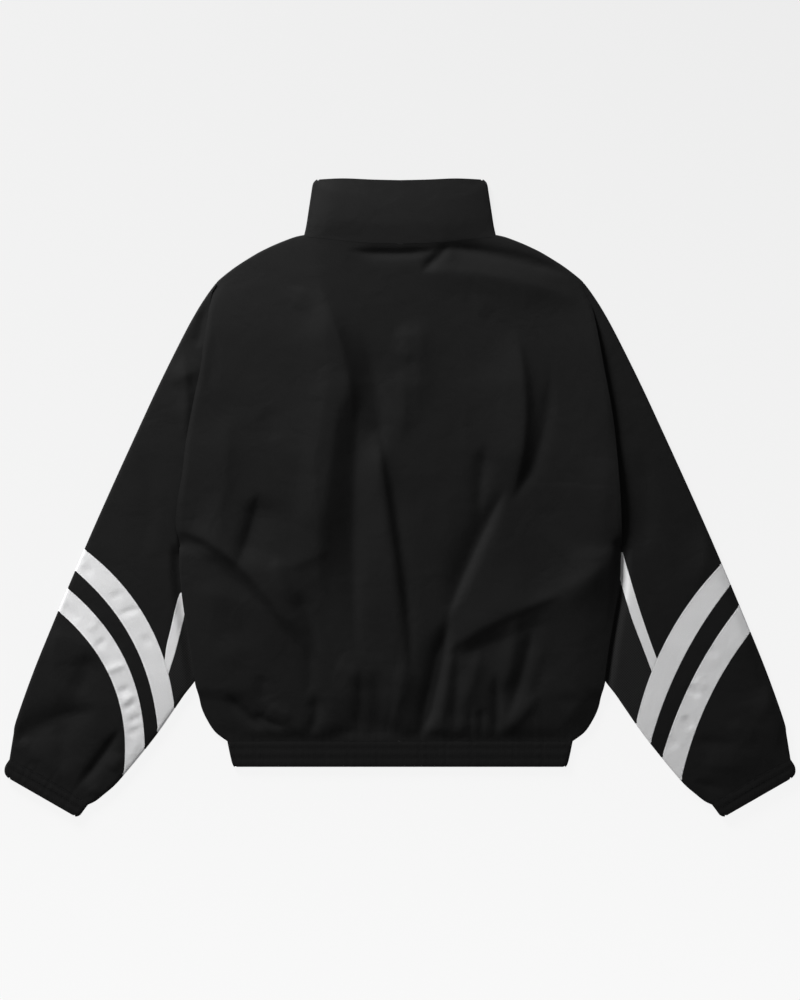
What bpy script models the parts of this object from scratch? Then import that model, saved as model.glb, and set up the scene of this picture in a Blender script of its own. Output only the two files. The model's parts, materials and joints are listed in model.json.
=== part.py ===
"""A track jacket with a full zip, laid flat on its front so that its back shows.

Each cloth piece is built as a maker cuts it: an outline of named lines is filled with triangles,
lifted to the height at which that layer of cloth lies, and given the cloth's thickness. A line is
a seam to the next piece, a fold, where the cloth rolls round to the under side, or a free edge.
Plan tables are in millimetres: x is half a width, measured out from the centre back, and y runs
from the hem to the collar. The garment lies on z = 0.
"""
import math

import bmesh
import bpy
import numpy as np
from mathutils import Vector
from mathutils.geometry import delaunay_2d_cdt

MM = 0.001

# Cloth, in millimetres
CLOTH = 1.2                # wall of every cloth piece
SEAM_GAP = 0.3             # between two pieces at a seam
FOLD = 1.9                 # how far a folded edge rounds inwards, to the middle of the cloth
LAP = 6.0                  # side and shoulder seams lie this far round on the under side
ROLL_STEPS = 4             # facets round a folded edge

# Heights of the middle of the cloth, above the layer that it lies on
REST = CLOTH / 2           # the lower layer lies on the ground
EDGE_RISE = 3.2            # the upper layer, at a folded edge
PUFF = 2.1                 # how much higher it lies away from the edges
PUFF_REACH = 28.0
FOLD_FREE = 14.0           # the folds fade out this near to an edge
LEAST_RISE = 2.0           # the deepest trough still clears the lower layer
BAND_RISE = 2.4            # the elastic hem and cuffs lie flatter
BAND_REACH = 10.0          # the cloth blouses over them within this distance
NECK_RISE = 2.6            # the collar stands a little open round the zip slider
NECK_AT, NECK_REACH = 372.0, 48.0
TUCKED_RISE = 1.8          # a sleeve, where the body lies on it
BODY_LIFT = 3.3            # the body's lower layer, where it lies on a sleeve
LIFT_WIDTH, LIFT_FADE = 30.0, 44.0
TUCK_ABOVE, TUCK_START = 5.0, 20.0     # the lift begins this far above the underarm
TUCK_LAST, TUCK_END = -236.0, -256.0
FOLD_START = 12.0          # both folds open from nothing at the underarm within this
OUTSIDE_FREE = 2.5         # a sleeve begins to rise this far outside the body's edge
OUTSIDE_FADE = 16.0        # and lies at its own height this much further out

# Spacing of the triangles' corners
BACK_STEP = 18.0           # the body, and its lower layers where they are lifted
SLEEVE_STEP = 19.0
CREASE_STEP = 13.0         # along the line where a sleeve comes out from under the body
SIDE_STEP = 14.0           # along the body's and collar's side folds, and the piping
SMALL_STEP = 15.0          # on the gusset and at the cuffs
END_STEP = 8.0             # round the cuffs' own folds
STRIP_STEP = 12.0
UNDERARM = 13.0            # the first stretch below the underarm, in two short steps
LONG_STEP = 34.0           # along seams that lie flat on the ground
ZIP_STEP = 60.0
EDGE_FREE = 0.55           # inner corners stay this share of a step clear of an outline
SLOPE_STEP = 0.5           # over which a layer's slope is measured
FLAT_STEP = 4              # lower layers, where they lie flat: every fourth of those

# Zip
ZIP_HALF = 6.0             # the fronts end this far from the centre
TAPE_IN, TAPE_OUT = 1.6, 14.0
TAPE = 0.7
TAPE_FOOT, TAPE_TOP = -333.0, 391.0
TAPE_STEP = 10.0
SLIDER_Y = 381.0
PLATE_X, PLATE_Y = 3.8, 5.5            # half sizes of the slider's two plates
PLATE_LOW, PLATE_HIGH = (2.6, 3.6), (6.1, 7.1)     # heights of their faces
POST_X, POST_Y = 1.1, (1.5, 5.5)
BRIDGE_X, BRIDGE_Y, BRIDGE_WALL = 0.8, 4.9, 0.8    # the loop that holds the pull tab
BRIDGE_LOW, BRIDGE_BAR = 0.2, 0.9
FUSE = 0.1                 # parts of the slider run into each other by this much
HINGE_Z = 1.85             # axis of the pull tab, inside the bridge
TAB, TAB_HALF, TAB_LONG, TAB_BAR = 1.0, 3.0, 26.0, 0.45
WINDOW_HALF, WINDOW_LONG = 1.5, 5.7
TAB_ROUND = 1.0
TAB_TILT = 2.75            # degrees: the tab's end rests on the ground
SLIDER_LIFT = 3.0          # the collar's front lies this much higher at the slider
SLIDER_LIFT_X = (10.0, 45.0)
SLIDER_LIFT_Y = (364.0, 300.0)

# The collar's side edge from the top corner, the shoulder and the sleeve's outer edge
COLLAR_SIDE = ((103.5, 398.0), (107.0, 395.2), (108.9, 391.0), (110.6, 380.0), (113.7, 360.0),
               (116.6, 341.0), (119.3, 328.6))
OUTER_EDGE = ((119.3, 328.6), (132.3, 325.6), (151.8, 318.2), (168.1, 310.8), (181.6, 303.6),
              (205.1, 288.7), (224.1, 273.9), (231.1, 266.4), (241.7, 252.0), (254.3, 232.1),
              (270.9, 201.6), (300.7, 141.6), (328.5, 81.8), (355.9, 21.8), (382.7, -38.1),
              (408.6, -98.1), (433.7, -158.0), (458.1, -218.2), (479.3, -278.0), (482.8, -296.2),
              (487.8, -327.0))
CUFF_OUTER = ((487.8, -327.0), (493.0, -335.2), (494.0, -341.5), (492.8, -346.0),
              (489.3, -350.0))
# The sleeve's inner edge, first hidden under the body
INNER_EDGE = {
    "left": ((275.6, -59.0), (277.6, -65.0), (278.0, -72.0), (270.0, -83.0), (262.0, -95.0),
             (255.0, -112.0), (250.0, -150.0), (247.0, -190.0), (251.0, -218.0), (257.0, -232.0),
             (270.0, -247.5), (281.0, -262.5), (302.5, -292.5), (326.0, -322.5), (345.0, -345.3),
             (357.4, -359.1), (371.8, -371.3), (381.0, -378.5), (390.6, -383.2)),
    "right": ((277.0, -68.0), (279.5, -73.0), (280.5, -80.0), (272.0, -89.0), (265.0, -99.0),
              (258.0, -120.0), (251.0, -150.0), (247.0, -190.0), (251.0, -218.0),
              (257.0, -232.0), (270.0, -247.5), (281.0, -262.5), (302.5, -292.5),
              (326.0, -322.5), (345.0, -345.3), (357.4, -359.1), (371.8, -371.3),
              (381.0, -378.5), (390.6, -383.2)),
}
CUFF_INNER = ((390.6, -383.2), (396.0, -390.3), (400.6, -396.4), (405.8, -397.9))

# The armhole seam from the shoulder to the underarm, then the body's side down to the hem. It
# meets the outer edge at SHOULDER_Y, where the fold turns the way of SHOULDER_TURN.
SHOULDER_Y = 267.5
SHOULDER_TURN = (-0.77, -0.64)
ARMHOLE = {
    "left": ((233.5, 262.0), (237.0, 245.0), (241.0, 222.0), (246.0, 187.0), (249.0, 163.0),
             (256.0, 130.0), (262.5, 97.0), (268.0, 65.0), (271.5, 33.0), (276.0, 9.0),
             (279.0, -10.0), (281.0, -35.0), (277.5, -50.0)),
    "right": ((231.0, 256.0), (238.0, 243.0), (244.0, 220.0), (255.0, 161.0), (266.0, 99.0),
              (273.0, 29.0), (276.0, -20.0), (277.0, -62.0)),
}
BODY_SIDE = {
    "left": ((275.6, -59.0), (275.3, -72.0), (274.8, -94.0), (272.3, -119.0), (269.0, -144.0),
             (261.5, -190.0), (256.0, -229.0), (251.0, -247.5), (247.5, -262.5), (240.7, -277.3),
             (230.7, -292.2), (215.4, -304.0)),
    "right": ((277.0, -68.0), (277.6, -80.0), (275.6, -99.0), (273.0, -121.0), (269.5, -144.0),
              (261.5, -190.0), (256.0, -229.0), (251.0, -247.5), (247.5, -262.5), (240.7, -277.3),
              (230.7, -292.2), (215.4, -304.0)),
}
HEM_SIDE = ((215.4, -304.0), (212.6, -318.0), (209.5, -331.0), (207.0, -336.0))
HEM_Y = HEM_SIDE[0][1]
# Neck seam: how far up it lies, at each half width
NECK_BACK = ((113.5, 325.8), (90.0, 323.2), (60.0, 320.0), (30.0, 318.0), (0.0, 317.3))
NECK_FRONT = ((113.5, 325.8), (106.0, 308.0), (88.0, 287.0), (60.0, 270.0), (30.0, 263.0),
              (ZIP_HALF, 262.0))
COLLAR_TOP = ((103.5, 398.0), (70.0, 399.0), (35.0, 397.4), (0.0, 396.5))

# Seams across each sleeve: heights at the outer and the inner edge, and how far they bow upwards
SLEEVE_SEAMS = {
    "left": {"band_1_top": (-64.2, -265.8, 24.6), "band_1_foot": (-91.2, -292.5, 23.8),
             "band_2_top": (-113.2, -313.5, 26.2), "band_2_foot": (-141.5, -346.0, 30.0)},
    "right": {"band_1_top": (-81.8, -281.5, 16.0), "band_1_foot": (-108.5, -306.0, 11.6),
              "band_2_top": (-134.2, -324.0, 10.6), "band_2_foot": (-167.5, -352.5, 11.6)},
}
CUFF_SEAM_BOW = 3.0
# Piping: the lines of its outer and inner edge down to the first band, and where they meet it,
# as shares of that seam. The first row is the gusset's top, under the body.
PIPING = {
    "left": {"outer": ((271.5, -110.0), (276.0, -127.5), (282.5, -152.5), (289.0, -177.5)),
             "inner": ((264.0, -110.0), (268.0, -130.0), (271.5, -152.5), (279.5, -188.0)),
             "meets": (0.71, 0.815)},
    "right": {"outer": ((285.0, -97.0), (288.0, -108.0), (297.5, -140.0), (311.0, -177.5)),
              "inner": ((274.5, -97.0), (280.0, -115.0), (291.0, -152.5), (304.0, -186.0)),
              "meets": (0.61, 0.705)},
}

# Largest folds of the upper layer: start, middle and end, height of the ridge (a trough is below
# nothing) and half width
FOLDS = (
    # name                  x1      y1      x2      y2      x3      y3    height  width
    ("shoulder blade",     -84.0,  205.0,  -66.0,  169.0,  -56.0,  131.0,  -1.6,  13.0),
    ("centre left hollow", -60.0,  112.0,  -66.0,    0.0,  -80.0, -160.0,  -2.0,  22.0),
    ("spine ridge",        -46.0,   80.0,  -34.0,  -20.0,  -34.0,  -95.0,   2.4,  14.0),
    ("spine trough",       -40.0,   61.0,    4.0,  -71.0,   22.0, -262.0,  -2.6,  15.0),
    ("right diagonal",     126.0,    9.0,   76.0,  -91.0,   54.0, -171.0,  -2.6,  12.0),
    ("right diagonal end",  50.0, -175.0,   36.0, -225.0,   26.0, -271.0,  -2.4,  10.0),
    ("waist step",          54.0, -174.0,  120.0, -155.0,  181.0, -131.0,  -2.6,  10.0),
    ("waist lobe",         125.0, -115.0,  205.0,  -40.0,  225.0,   85.0,   2.8,  28.0),
    ("right blade",        160.0,  169.0,  160.0,   70.0,  140.0,   11.0,  -2.2,  13.0),
    ("right blade ridge",  114.0,  155.0,  128.0,  100.0,  138.0,   35.0,   1.6,  19.0),
    ("left diagonal",     -244.0,  -66.0, -196.0, -108.0, -126.0, -181.0,  -2.4,  13.0),
    ("left diagonal ridge", -220.0, -59.0, -160.0, -112.0, -114.0, -179.0,  2.4,  15.0),
    ("left dimple",       -201.0,    8.0, -204.0,  -12.0, -205.0,  -32.0,  -1.5,  14.0),
    ("hem gather 1",      -211.0, -254.0, -190.0, -268.0, -171.0, -284.0,  -1.8,   9.0),
    ("hem gather 2",      -115.0, -248.0, -113.0, -270.0, -117.0, -296.0,  -1.9,   9.0),
    ("hem gather 3",       -52.0, -238.0,  -52.0, -262.0,  -52.0, -290.0,  -1.9,   9.0),
    ("hem lobe",             2.0, -235.0,    4.0, -255.0,    6.0, -280.0,   2.2,  12.0),
    ("hem gather 4",        57.0, -245.0,   57.0, -270.0,   57.0, -296.0,  -2.0,   9.0),
    ("hem gather 5",       116.0, -238.0,  116.0, -268.0,  116.0, -298.0,  -2.3,   9.0),
    ("hem ridge",          163.0, -250.0,  142.0, -272.0,  122.0, -291.0,   1.9,  10.0),
    ("neck hollow",        -42.0,  305.0,    0.0,  303.0,   46.0,  306.0,  -1.2,   9.0),
    ("shoulder pull",       62.0,  315.0,  120.0,  306.0,  184.0,  288.0,  -1.5,   9.0),
    ("left wrist trough", -475.0, -277.0, -450.0, -262.0, -426.0, -251.0,  -1.4,  10.0),
    ("left wrist ridge",  -440.0, -318.0, -421.0, -312.0, -404.0, -300.0,   1.6,  13.0),
    ("left wrist crease", -408.0, -349.0, -386.0, -324.0, -362.0, -300.0,  -1.8,   9.0),
    ("right wrist trough", 376.0, -300.0,  396.0, -303.0,  416.0, -302.0,  -1.5,   9.0),
    ("right wrist crease", 376.0, -350.0,  398.0, -360.0,  420.0, -364.0,  -1.5,   9.0),
    ("left elbow",        -330.0,  -30.0, -345.0,  -70.0, -352.0, -110.0,   1.3,  18.0),
    ("right elbow",        330.0,  -20.0,  348.0,  -60.0,  352.0, -115.0,   1.3,  18.0),
)

SIGN = {"left": -1.0, "right": 1.0}

# Colours
BLACK_CLOTH = (0.012, 0.012, 0.013, 1.0)
MESH_CLOTH = (0.010, 0.010, 0.011, 1.0)
PALE_CLOTH = (0.62, 0.62, 0.63, 1.0)
RIB_CLOTH = (0.016, 0.016, 0.017, 1.0)
TAPE_CLOTH = (0.010, 0.010, 0.010, 1.0)
METAL = (0.20, 0.20, 0.21, 1.0)


# ---------------------------------------------------------------- lines in the plan

def smooth(rows, steps=10):
    """A dense smooth line through the rows (Catmull-Rom)."""
    p = np.array(rows, float)
    if len(p) == 2:
        return p
    ends = np.vstack([2 * p[0] - p[1], p, 2 * p[-1] - p[-2]])
    t = np.linspace(0, 1, steps, endpoint=False)[:, None]
    parts = []
    for a, b, c, d in zip(ends, ends[1:], ends[2:], ends[3:]):
        parts.append(0.5 * (2 * b + (c - a) * t + (2 * a - 5 * b + 4 * c - d) * t ** 2
                            + (3 * b - a - 3 * c + d) * t ** 3))
    return np.vstack(parts + [p[-1:]])


def spaced(line, step):
    """The same line with corners at even distances of about one step, both ends kept."""
    run = np.concatenate([[0], np.cumsum(np.linalg.norm(np.diff(line, axis=0), axis=1))])
    at = np.linspace(0, run[-1], max(1, round(run[-1] / step)) + 1)
    return np.column_stack([np.interp(at, run, line[:, 0]), np.interp(at, run, line[:, 1])])


def between(line, y_from, y_to):
    """The stretch of a line that falls steadily in y, between two heights."""
    x_at = lambda y: np.interp(-y, -line[:, 1], line[:, 0])
    inside = line[(line[:, 1] < y_from - 0.5) & (line[:, 1] > y_to + 0.5)]
    return np.vstack([[x_at(y_from), y_from], inside, [x_at(y_to), y_to]])


def bowed(start, end, bow, steps=24):
    """A shallow arc from the outer edge to the inner one, bowed towards the body."""
    chord = end - start
    side = np.array([chord[1], -chord[0]]) / np.linalg.norm(chord)
    t = np.linspace(0, 1, steps + 1)[:, None]
    return start + chord * t + side * bow * 4 * t * (1 - t)


def distance(x, y, line):
    """Distance from each point to a line of the plan."""
    best = np.full(x.shape, np.inf)
    for a, b in zip(line, line[1:]):
        d = b - a
        t = np.clip(((x - a[0]) * d[0] + (y - a[1]) * d[1]) / (d @ d), 0, 1)
        best = np.minimum(best, np.hypot(x - a[0] - t * d[0], y - a[1] - t * d[1]))
    return best


def inside(x, y, loop):
    """Whether each point lies within a closed loop."""
    hit = np.zeros(x.shape, bool)
    for a, b in zip(loop, np.roll(loop, -1, axis=0)):
        if a[1] != b[1]:
            crosses = (a[1] > y) != (b[1] > y)
            hit ^= crosses & (x < (b[0] - a[0]) * (y - a[1]) / (b[1] - a[1]) + a[0])
    return hit


def ease(t):
    """A smooth step from 0 to 1."""
    t = np.clip(t, 0, 1)
    return t * t * (3 - 2 * t)


class Line:
    """Corners of one side of a piece: a seam, a fold or a free edge.

    On a fold, out is the way that the cloth turns away from the piece and roll is how far in the
    upper layer begins.
    """

    def __init__(self, kind, at, out=None, roll=None):
        self.kind = kind
        self.at = np.array(at, float)
        self.out = np.zeros_like(self.at) if out is None else np.array(out, float)
        self.roll = np.zeros(len(self.at)) if roll is None else np.array(roll, float)

    def back(self):
        """The same side, run the other way."""
        return Line(self.kind, self.at[::-1], self.out[::-1], self.roll[::-1])

    def cut(self, first, last):
        """A stretch of the side, both corners included."""
        part = slice(first, last + 1)
        return Line(self.kind, self.at[part], self.out[part], self.roll[part])

    def lap(self):
        """The seam that follows a fold on the under side."""
        return Line("seam", self.at - (self.roll + LAP)[:, None] * self.out)


# ---------------------------------------------------------------- the sewing lines of one side

def from_underarm(line, y_to):
    """A line below the underarm, with short steps first."""
    y = line[0][1]
    first = spaced(between(line, y, y - UNDERARM), UNDERARM / 2)
    return np.vstack([first, spaced(between(line, y - UNDERARM, y_to), SIDE_STEP)[1:]])


def edge_line(stretches, side, turned=(), flat_start=False):
    """One folded edge through several stretches, and the corner number at which each ends.

    side is 1 where the outside lies to the left of the run, and -1 where it lies to the right.
    turned gives (stretch, direction) where the fold meets a seam at a set angle, before side is
    applied; with flat_start the fold opens from nothing at the underarm.
    """
    points, marks = [stretches[0][:1]], [0]
    for stretch in stretches:
        points.append(stretch[1:])
        marks.append(marks[-1] + len(stretch) - 1)
    at = np.vstack(points)
    along = np.gradient(at, axis=0)
    out = np.column_stack([-along[:, 1], along[:, 0]])
    out /= np.linalg.norm(out, axis=1)[:, None]
    roll = np.full(len(at), FOLD)
    if flat_start:
        run = np.concatenate([[0], np.cumsum(np.linalg.norm(np.diff(at, axis=0), axis=1))])
        roll *= ease(run / FOLD_START)
    for corner, way in turned:
        out[marks[corner]] = np.array(way) / np.linalg.norm(way)
    return Line("fold", at, out * side, roll), marks


def sewing_lines(hand):
    """All lines of one hand, in half widths; placed() turns them to their side."""
    seams = SLEEVE_SEAMS[hand]
    outer, inner = smooth(OUTER_EDGE), smooth(INNER_EDGE[hand])
    side, armhole = smooth(BODY_SIDE[hand]), smooth(ARMHOLE[hand])
    outer_y = [SHOULDER_Y] + [row[0] for row in seams.values()] + [OUTER_EDGE[-1][1]]
    inner_y = [PIPING[hand]["inner"][0][1]] + [row[1] for row in seams.values()]
    inner_y.append(INNER_EDGE[hand][-1][1])

    # outer outline, from the cuff's end up to the collar's top: marks 0 and 1 are the cuff's, 2 to
    # 5 the bands' seams, 6 the shoulder, 7 the neck and 8 the top
    ups = [spaced(smooth(CUFF_OUTER), END_STEP)[::-1]]
    for low, high in zip(outer_y[:0:-1], outer_y[-2::-1]):
        ups.append(spaced(between(outer, high, low), SLEEVE_STEP)[::-1])
    ups.append(spaced(between(outer, OUTER_EDGE[0][1], SHOULDER_Y), BACK_STEP)[::-1])
    ups.append(spaced(smooth(COLLAR_SIDE), SIDE_STEP)[::-1])
    outline, marks = edge_line(ups, -1, turned=((7, SHOULDER_TURN),))
    lines = {"outline": outline, "outline_marks": marks}

    # inner edge of the sleeve, from the underarm (0) past the gusset's top (1), the bands' seams
    # (2 to 5) and the cuff's seam (6) to the cuff's end (7)
    downs = [from_underarm(inner, inner_y[0])]
    for high, low in zip(inner_y, inner_y[1:]):
        downs.append(spaced(between(inner, high, low), SLEEVE_STEP))
    downs.append(spaced(smooth(CUFF_INNER), END_STEP))
    inner_fold, inner_marks = edge_line(downs, -1, turned=((0, (0.0, 1.0)),), flat_start=True)
    lines.update(inner=inner_fold, inner_marks=inner_marks)

    # the body's side fold from the underarm (0) down to the hem (1), then the hem band's to 2
    body = [from_underarm(side, side[-1][1]), spaced(smooth(HEM_SIDE), END_STEP)]
    side_fold, side_marks = edge_line(body, 1, turned=((0, (0.0, -1.0)), (1, (1.0, 0.0))),
                                      flat_start=True)
    lines.update(side=side_fold, side_marks=side_marks)

    # armhole: the shoulder point, the seam and the underarm point
    top = outline.cut(marks[6], marks[6])
    foot = side_fold.cut(0, 0)
    middle = spaced(between(armhole, armhole[1][1], armhole[-2][1]), SLEEVE_STEP)[1:-1]
    lines["armhole"] = Line("seam", np.vstack([top.at, top.lap().at, middle, foot.lap().at,
                                               foot.at]))

    # seams across the sleeve, from the outer to the inner edge
    outer_at = {name: outline.at[marks[5 - i]] for i, name in enumerate(seams)}
    inner_at = {name: inner_fold.at[inner_marks[2 + i]] for i, name in enumerate(seams)}
    for name, (_, _, bow) in seams.items():
        arc = bowed(outer_at[name], inner_at[name], bow)
        lines[name] = Line("seam", spaced(arc, SLEEVE_STEP))
    arc = bowed(outline.at[marks[1]], inner_fold.at[inner_marks[6]], CUFF_SEAM_BOW)
    lines["cuff_seam"] = Line("seam", spaced(arc, SMALL_STEP))
    ends = np.vstack([outline.at[0], inner_fold.at[-1]])
    lines["cuff_end"] = Line("free", spaced(ends, SMALL_STEP))

    # piping, and the first band's seam with corners where the piping meets it
    arc = spaced(bowed(outer_at["band_1_top"], inner_at["band_1_top"],
                       seams["band_1_top"][2]), 1.0)
    meets = [round(share * (len(arc) - 1)) for share in PIPING[hand]["meets"]]
    parts = [spaced(arc[:meets[0] + 1], SLEEVE_STEP),
             spaced(arc[meets[0]:meets[1] + 1], STRIP_STEP), spaced(arc[meets[1]:], STRIP_STEP)]
    lines["band_1_by"] = [Line("seam", part) for part in parts]
    lines["band_1_top"] = Line("seam", np.vstack([parts[0], parts[1][1:], parts[2][1:]]))
    for name, meet in zip(("outer", "inner"), meets):
        rows = np.vstack([PIPING[hand][name], arc[meet]])
        lines["piping_" + name] = Line("seam", spaced(smooth(rows), SIDE_STEP))
    return lines


def placed(lines, hand):
    """The same lines with half widths turned to their side of the body."""
    flip = np.array([SIGN[hand], 1.0])

    def turn(thing):
        if isinstance(thing, Line):
            return Line(thing.kind, thing.at * flip, thing.out * flip, thing.roll)
        if isinstance(thing, list) and isinstance(thing[0], Line):
            return [turn(one) for one in thing]
        return thing

    return {name: turn(thing) for name, thing in lines.items()}


HANDS = {hand: placed(sewing_lines(hand), hand) for hand in SIGN}


# ---------------------------------------------------------------- heights of the layers

def ridge_line(row):
    """A fold's own line, through its middle point."""
    a, m, c = np.array(row[1:7], float).reshape(3, 2)
    b = 2 * m - (a + c) / 2
    t = np.linspace(0, 1, 9)[:, None]
    return (1 - t) ** 2 * a + 2 * t * (1 - t) * b + t ** 2 * c


RIDGES = [(ridge_line(row), row[7], row[8]) for row in FOLDS]


def folds(x, y):
    """Sum of the ridges and troughs of the upper layer."""
    total = np.zeros(x.shape)
    for line, height, width in RIDGES:
        total += height * np.exp(-(distance(x, y, line) / width) ** 2)
    return total


def of_hand(x, y, measure):
    """A measure taken on each point's own side of the body."""
    result = np.zeros(x.shape)
    for hand, sign in SIGN.items():
        mine = x * sign >= 0
        if mine.any():
            result[mine] = measure(x[mine], y[mine], hand)
    return result


def tucked(y, hand):
    """1 along the stretch of the side where the body lies on the sleeve."""
    start = HANDS[hand]["side"].at[0][1] + TUCK_ABOVE
    return ease((start - y) / TUCK_START) * ease((y - TUCK_END) / (TUCK_LAST - TUCK_END))


def low_height(x, y):
    """Middle of the lower layer: flat, but for the lift over the sleeves and the slider."""
    def lift(x, y, hand):
        from_side = distance(x, y, HANDS[hand]["side"].at)
        over_sleeve = tucked(y, hand) * ease((LIFT_WIDTH + LIFT_FADE - from_side) / LIFT_FADE)
        across = ease((SLIDER_LIFT_X[1] - abs(x)) / (SLIDER_LIFT_X[1] - SLIDER_LIFT_X[0]))
        along = ease((y - SLIDER_LIFT_Y[1]) / (SLIDER_LIFT_Y[0] - SLIDER_LIFT_Y[1]))
        return BODY_LIFT * over_sleeve + SLIDER_LIFT * across * along

    return REST + of_hand(x, y, lift)


def rise(x, y, from_edge, in_band):
    """Height of an upper layer above the one it lies on."""
    free = EDGE_RISE + PUFF * (1 - np.exp(-from_edge / PUFF_REACH))
    free += folds(x, y) * (1 - np.exp(-(from_edge / FOLD_FREE) ** 2))
    free += (NECK_RISE * np.exp(-((y - NECK_AT) / NECK_REACH) ** 2)
             * (1 - np.exp(-from_edge / PUFF_REACH)))
    free = LEAST_RISE + np.logaddexp(0, (free - LEAST_RISE) * 2) / 2
    return free * (1 - in_band) + BAND_RISE * in_band


def near_band(past):
    """1 on an elastic band, fading over the cloth that blouses above it."""
    return np.where(past > 0, 1.0, np.exp(-(past / BAND_REACH) ** 2))


def body_height(x, y):
    """Middle of the upper layer of the body, the collar and the hem band."""
    def from_edge(x, y, hand):
        lines = HANDS[hand]
        return np.minimum(distance(x, y, lines["outline"].at), distance(x, y, lines["side"].at))

    sleeve_lift = low_height(x, np.minimum(y, SLIDER_LIFT_Y[1])) - REST
    return REST + sleeve_lift + rise(x, y, of_hand(x, y, from_edge), near_band(HEM_Y - y))


def sleeve_height(x, y):
    """Middle of the upper layer of a sleeve and its cuff."""
    def height(x, y, hand):
        lines = HANDS[hand]
        from_edge = np.minimum(distance(x, y, lines["outline"].at),
                               distance(x, y, lines["inner"].at))
        first, last = lines["cuff_seam"].at[0], lines["cuff_seam"].at[-1]
        down = np.array([last[1] - first[1], first[0] - last[0]])
        down *= -np.sign(down[1]) / np.linalg.norm(down)
        past = (x - first[0]) * down[0] + (y - first[1]) * down[1]
        own = rise(x, y, from_edge, near_band(past))
        side = lines["side"].at
        side_x = np.interp(-y, -side[:, 1], side[:, 0])
        outside = np.where(np.abs(x) > np.abs(side_x), distance(x, y, side), 0.0)
        press = tucked(y, hand) * ease(1 - (outside - OUTSIDE_FREE) / OUTSIDE_FADE)
        return REST + own * (1 - press) + TUCKED_RISE * press

    return of_hand(x, y, height)


# ---------------------------------------------------------------- cloth pieces

class Cloth:
    """The middle surface of one piece: corners, the way each faces, and faces."""

    def __init__(self):
        self.at, self.way, self.faces = [], [], []

    def add(self, points, ways):
        first = len(self.at)
        self.at.extend(points)
        self.way.extend(ways)
        return list(range(first, len(self.at)))

    def panel(self, sides, height, up, step, flat_step=1, crease=()):
        """Fill an outline with triangles; gives each side's corner numbers.

        Where flat_step is over 1, only every so many of the inner points are kept on ground.
        A crease is a row of points that the triangles' corners are to follow.
        """
        loop = fitted(sides)
        x, y = inner_points(loop, step, height, flat_step, crease)
        plan = np.vstack([loop, np.column_stack([x, y])])
        ring = list(range(len(loop)))
        if loop_area(loop) < 0:
            ring.reverse()
        faces, sources = delaunay_2d_cdt([tuple(p) for p in plan], [], [ring], 1, 1e-4)[2:4]
        ids = self.add(*surface(plan[:, 0], plan[:, 1], height, 1.0 if up else -1.0))
        for face in faces:
            run = [ids[sources[corner][0]] for corner in face]
            self.faces.append(run if up else run[::-1])
        by_side, first = [], 0
        for side in sides:
            run = [ids[(first + i) % len(loop)] for i in range(len(side.at))]
            by_side.append(run)
            first += len(side.at) - 1
        return by_side

    def roll(self, side, top, low=None, lap_height=None):
        """Roll the cloth round a folded side, from the panel above to the panel or lap below."""
        rows = [top]
        upper = np.array([self.at[i] for i in top])
        shift = upper[:, :2] - (side.at - side.roll[:, None] * side.out)
        if low is None:
            lap = side.at - (side.roll + LAP - SEAM_GAP / 2)[:, None] * side.out + shift
            foot = side.at - side.roll[:, None] * side.out + shift
            low = self.add(*surface(foot[:, 0], foot[:, 1], lap_height, -1.0))
            last = self.add(*surface(lap[:, 0], lap[:, 1], lap_height, -1.0))
        else:
            last = None
        lower = np.array([self.at[i] for i in low])
        half = (upper[:, 2] - lower[:, 2]) / 2
        for turn in np.linspace(np.pi / 2, -np.pi / 2, ROLL_STEPS + 1)[1:-1]:
            reach = side.roll * (np.cos(turn) - 1)
            plan = side.at + reach[:, None] * side.out + shift
            z = (upper[:, 2] + lower[:, 2]) / 2 + half * np.sin(turn)
            way = np.column_stack([side.out * np.cos(turn) / np.maximum(side.roll, 0.3)[:, None],
                                   np.sin(turn) / half])
            way /= np.linalg.norm(way, axis=1)[:, None]
            rows.append(self.add(np.column_stack([plan, z]), way))
        rows.append(low)
        if last:
            rows.append(last)
        strip = [[a[i], a[i + 1], b[i + 1], b[i]]
                 for a, b in zip(rows, rows[1:]) for i in range(len(a) - 1)]
        outwards = sum(self.outward(face) for face in strip) > 0
        self.faces += strip if outwards else [face[::-1] for face in strip]

    def outward(self, face):
        """Over 0 where a four-sided face looks the way its corners do."""
        a, b, c, d = (np.array(self.at[i]) for i in face)
        return np.cross(c - a, d - b) @ sum(np.array(self.way[i]) for i in face)

    def finish(self, name, colour, wall=CLOTH, roughness=0.85, metallic=0.0):
        """Give the surface its thickness and make the object."""
        at, way = np.array(self.at), np.array(self.way)
        faces = self.faces
        count = len(at)
        rim = {}
        for face in faces:
            for a, b in zip(face, face[1:] + face[:1]):
                if rim.pop((b, a), None) is None:
                    rim[(a, b)] = True
        shell = faces + [[i + count for i in reversed(face)] for face in faces]
        shell += [[b, a, a + count, b + count] for a, b in rim]
        points = np.vstack([at + way * wall / 2, at - way * wall / 2]) * MM
        return add_object(name, points, shell, colour, roughness, metallic)


def loop_area(loop):
    """Area within a closed loop, over 0 where it runs anticlockwise."""
    x, y = loop.T
    return np.sum(x * np.roll(y, -1) - y * np.roll(x, -1)) / 2


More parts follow.
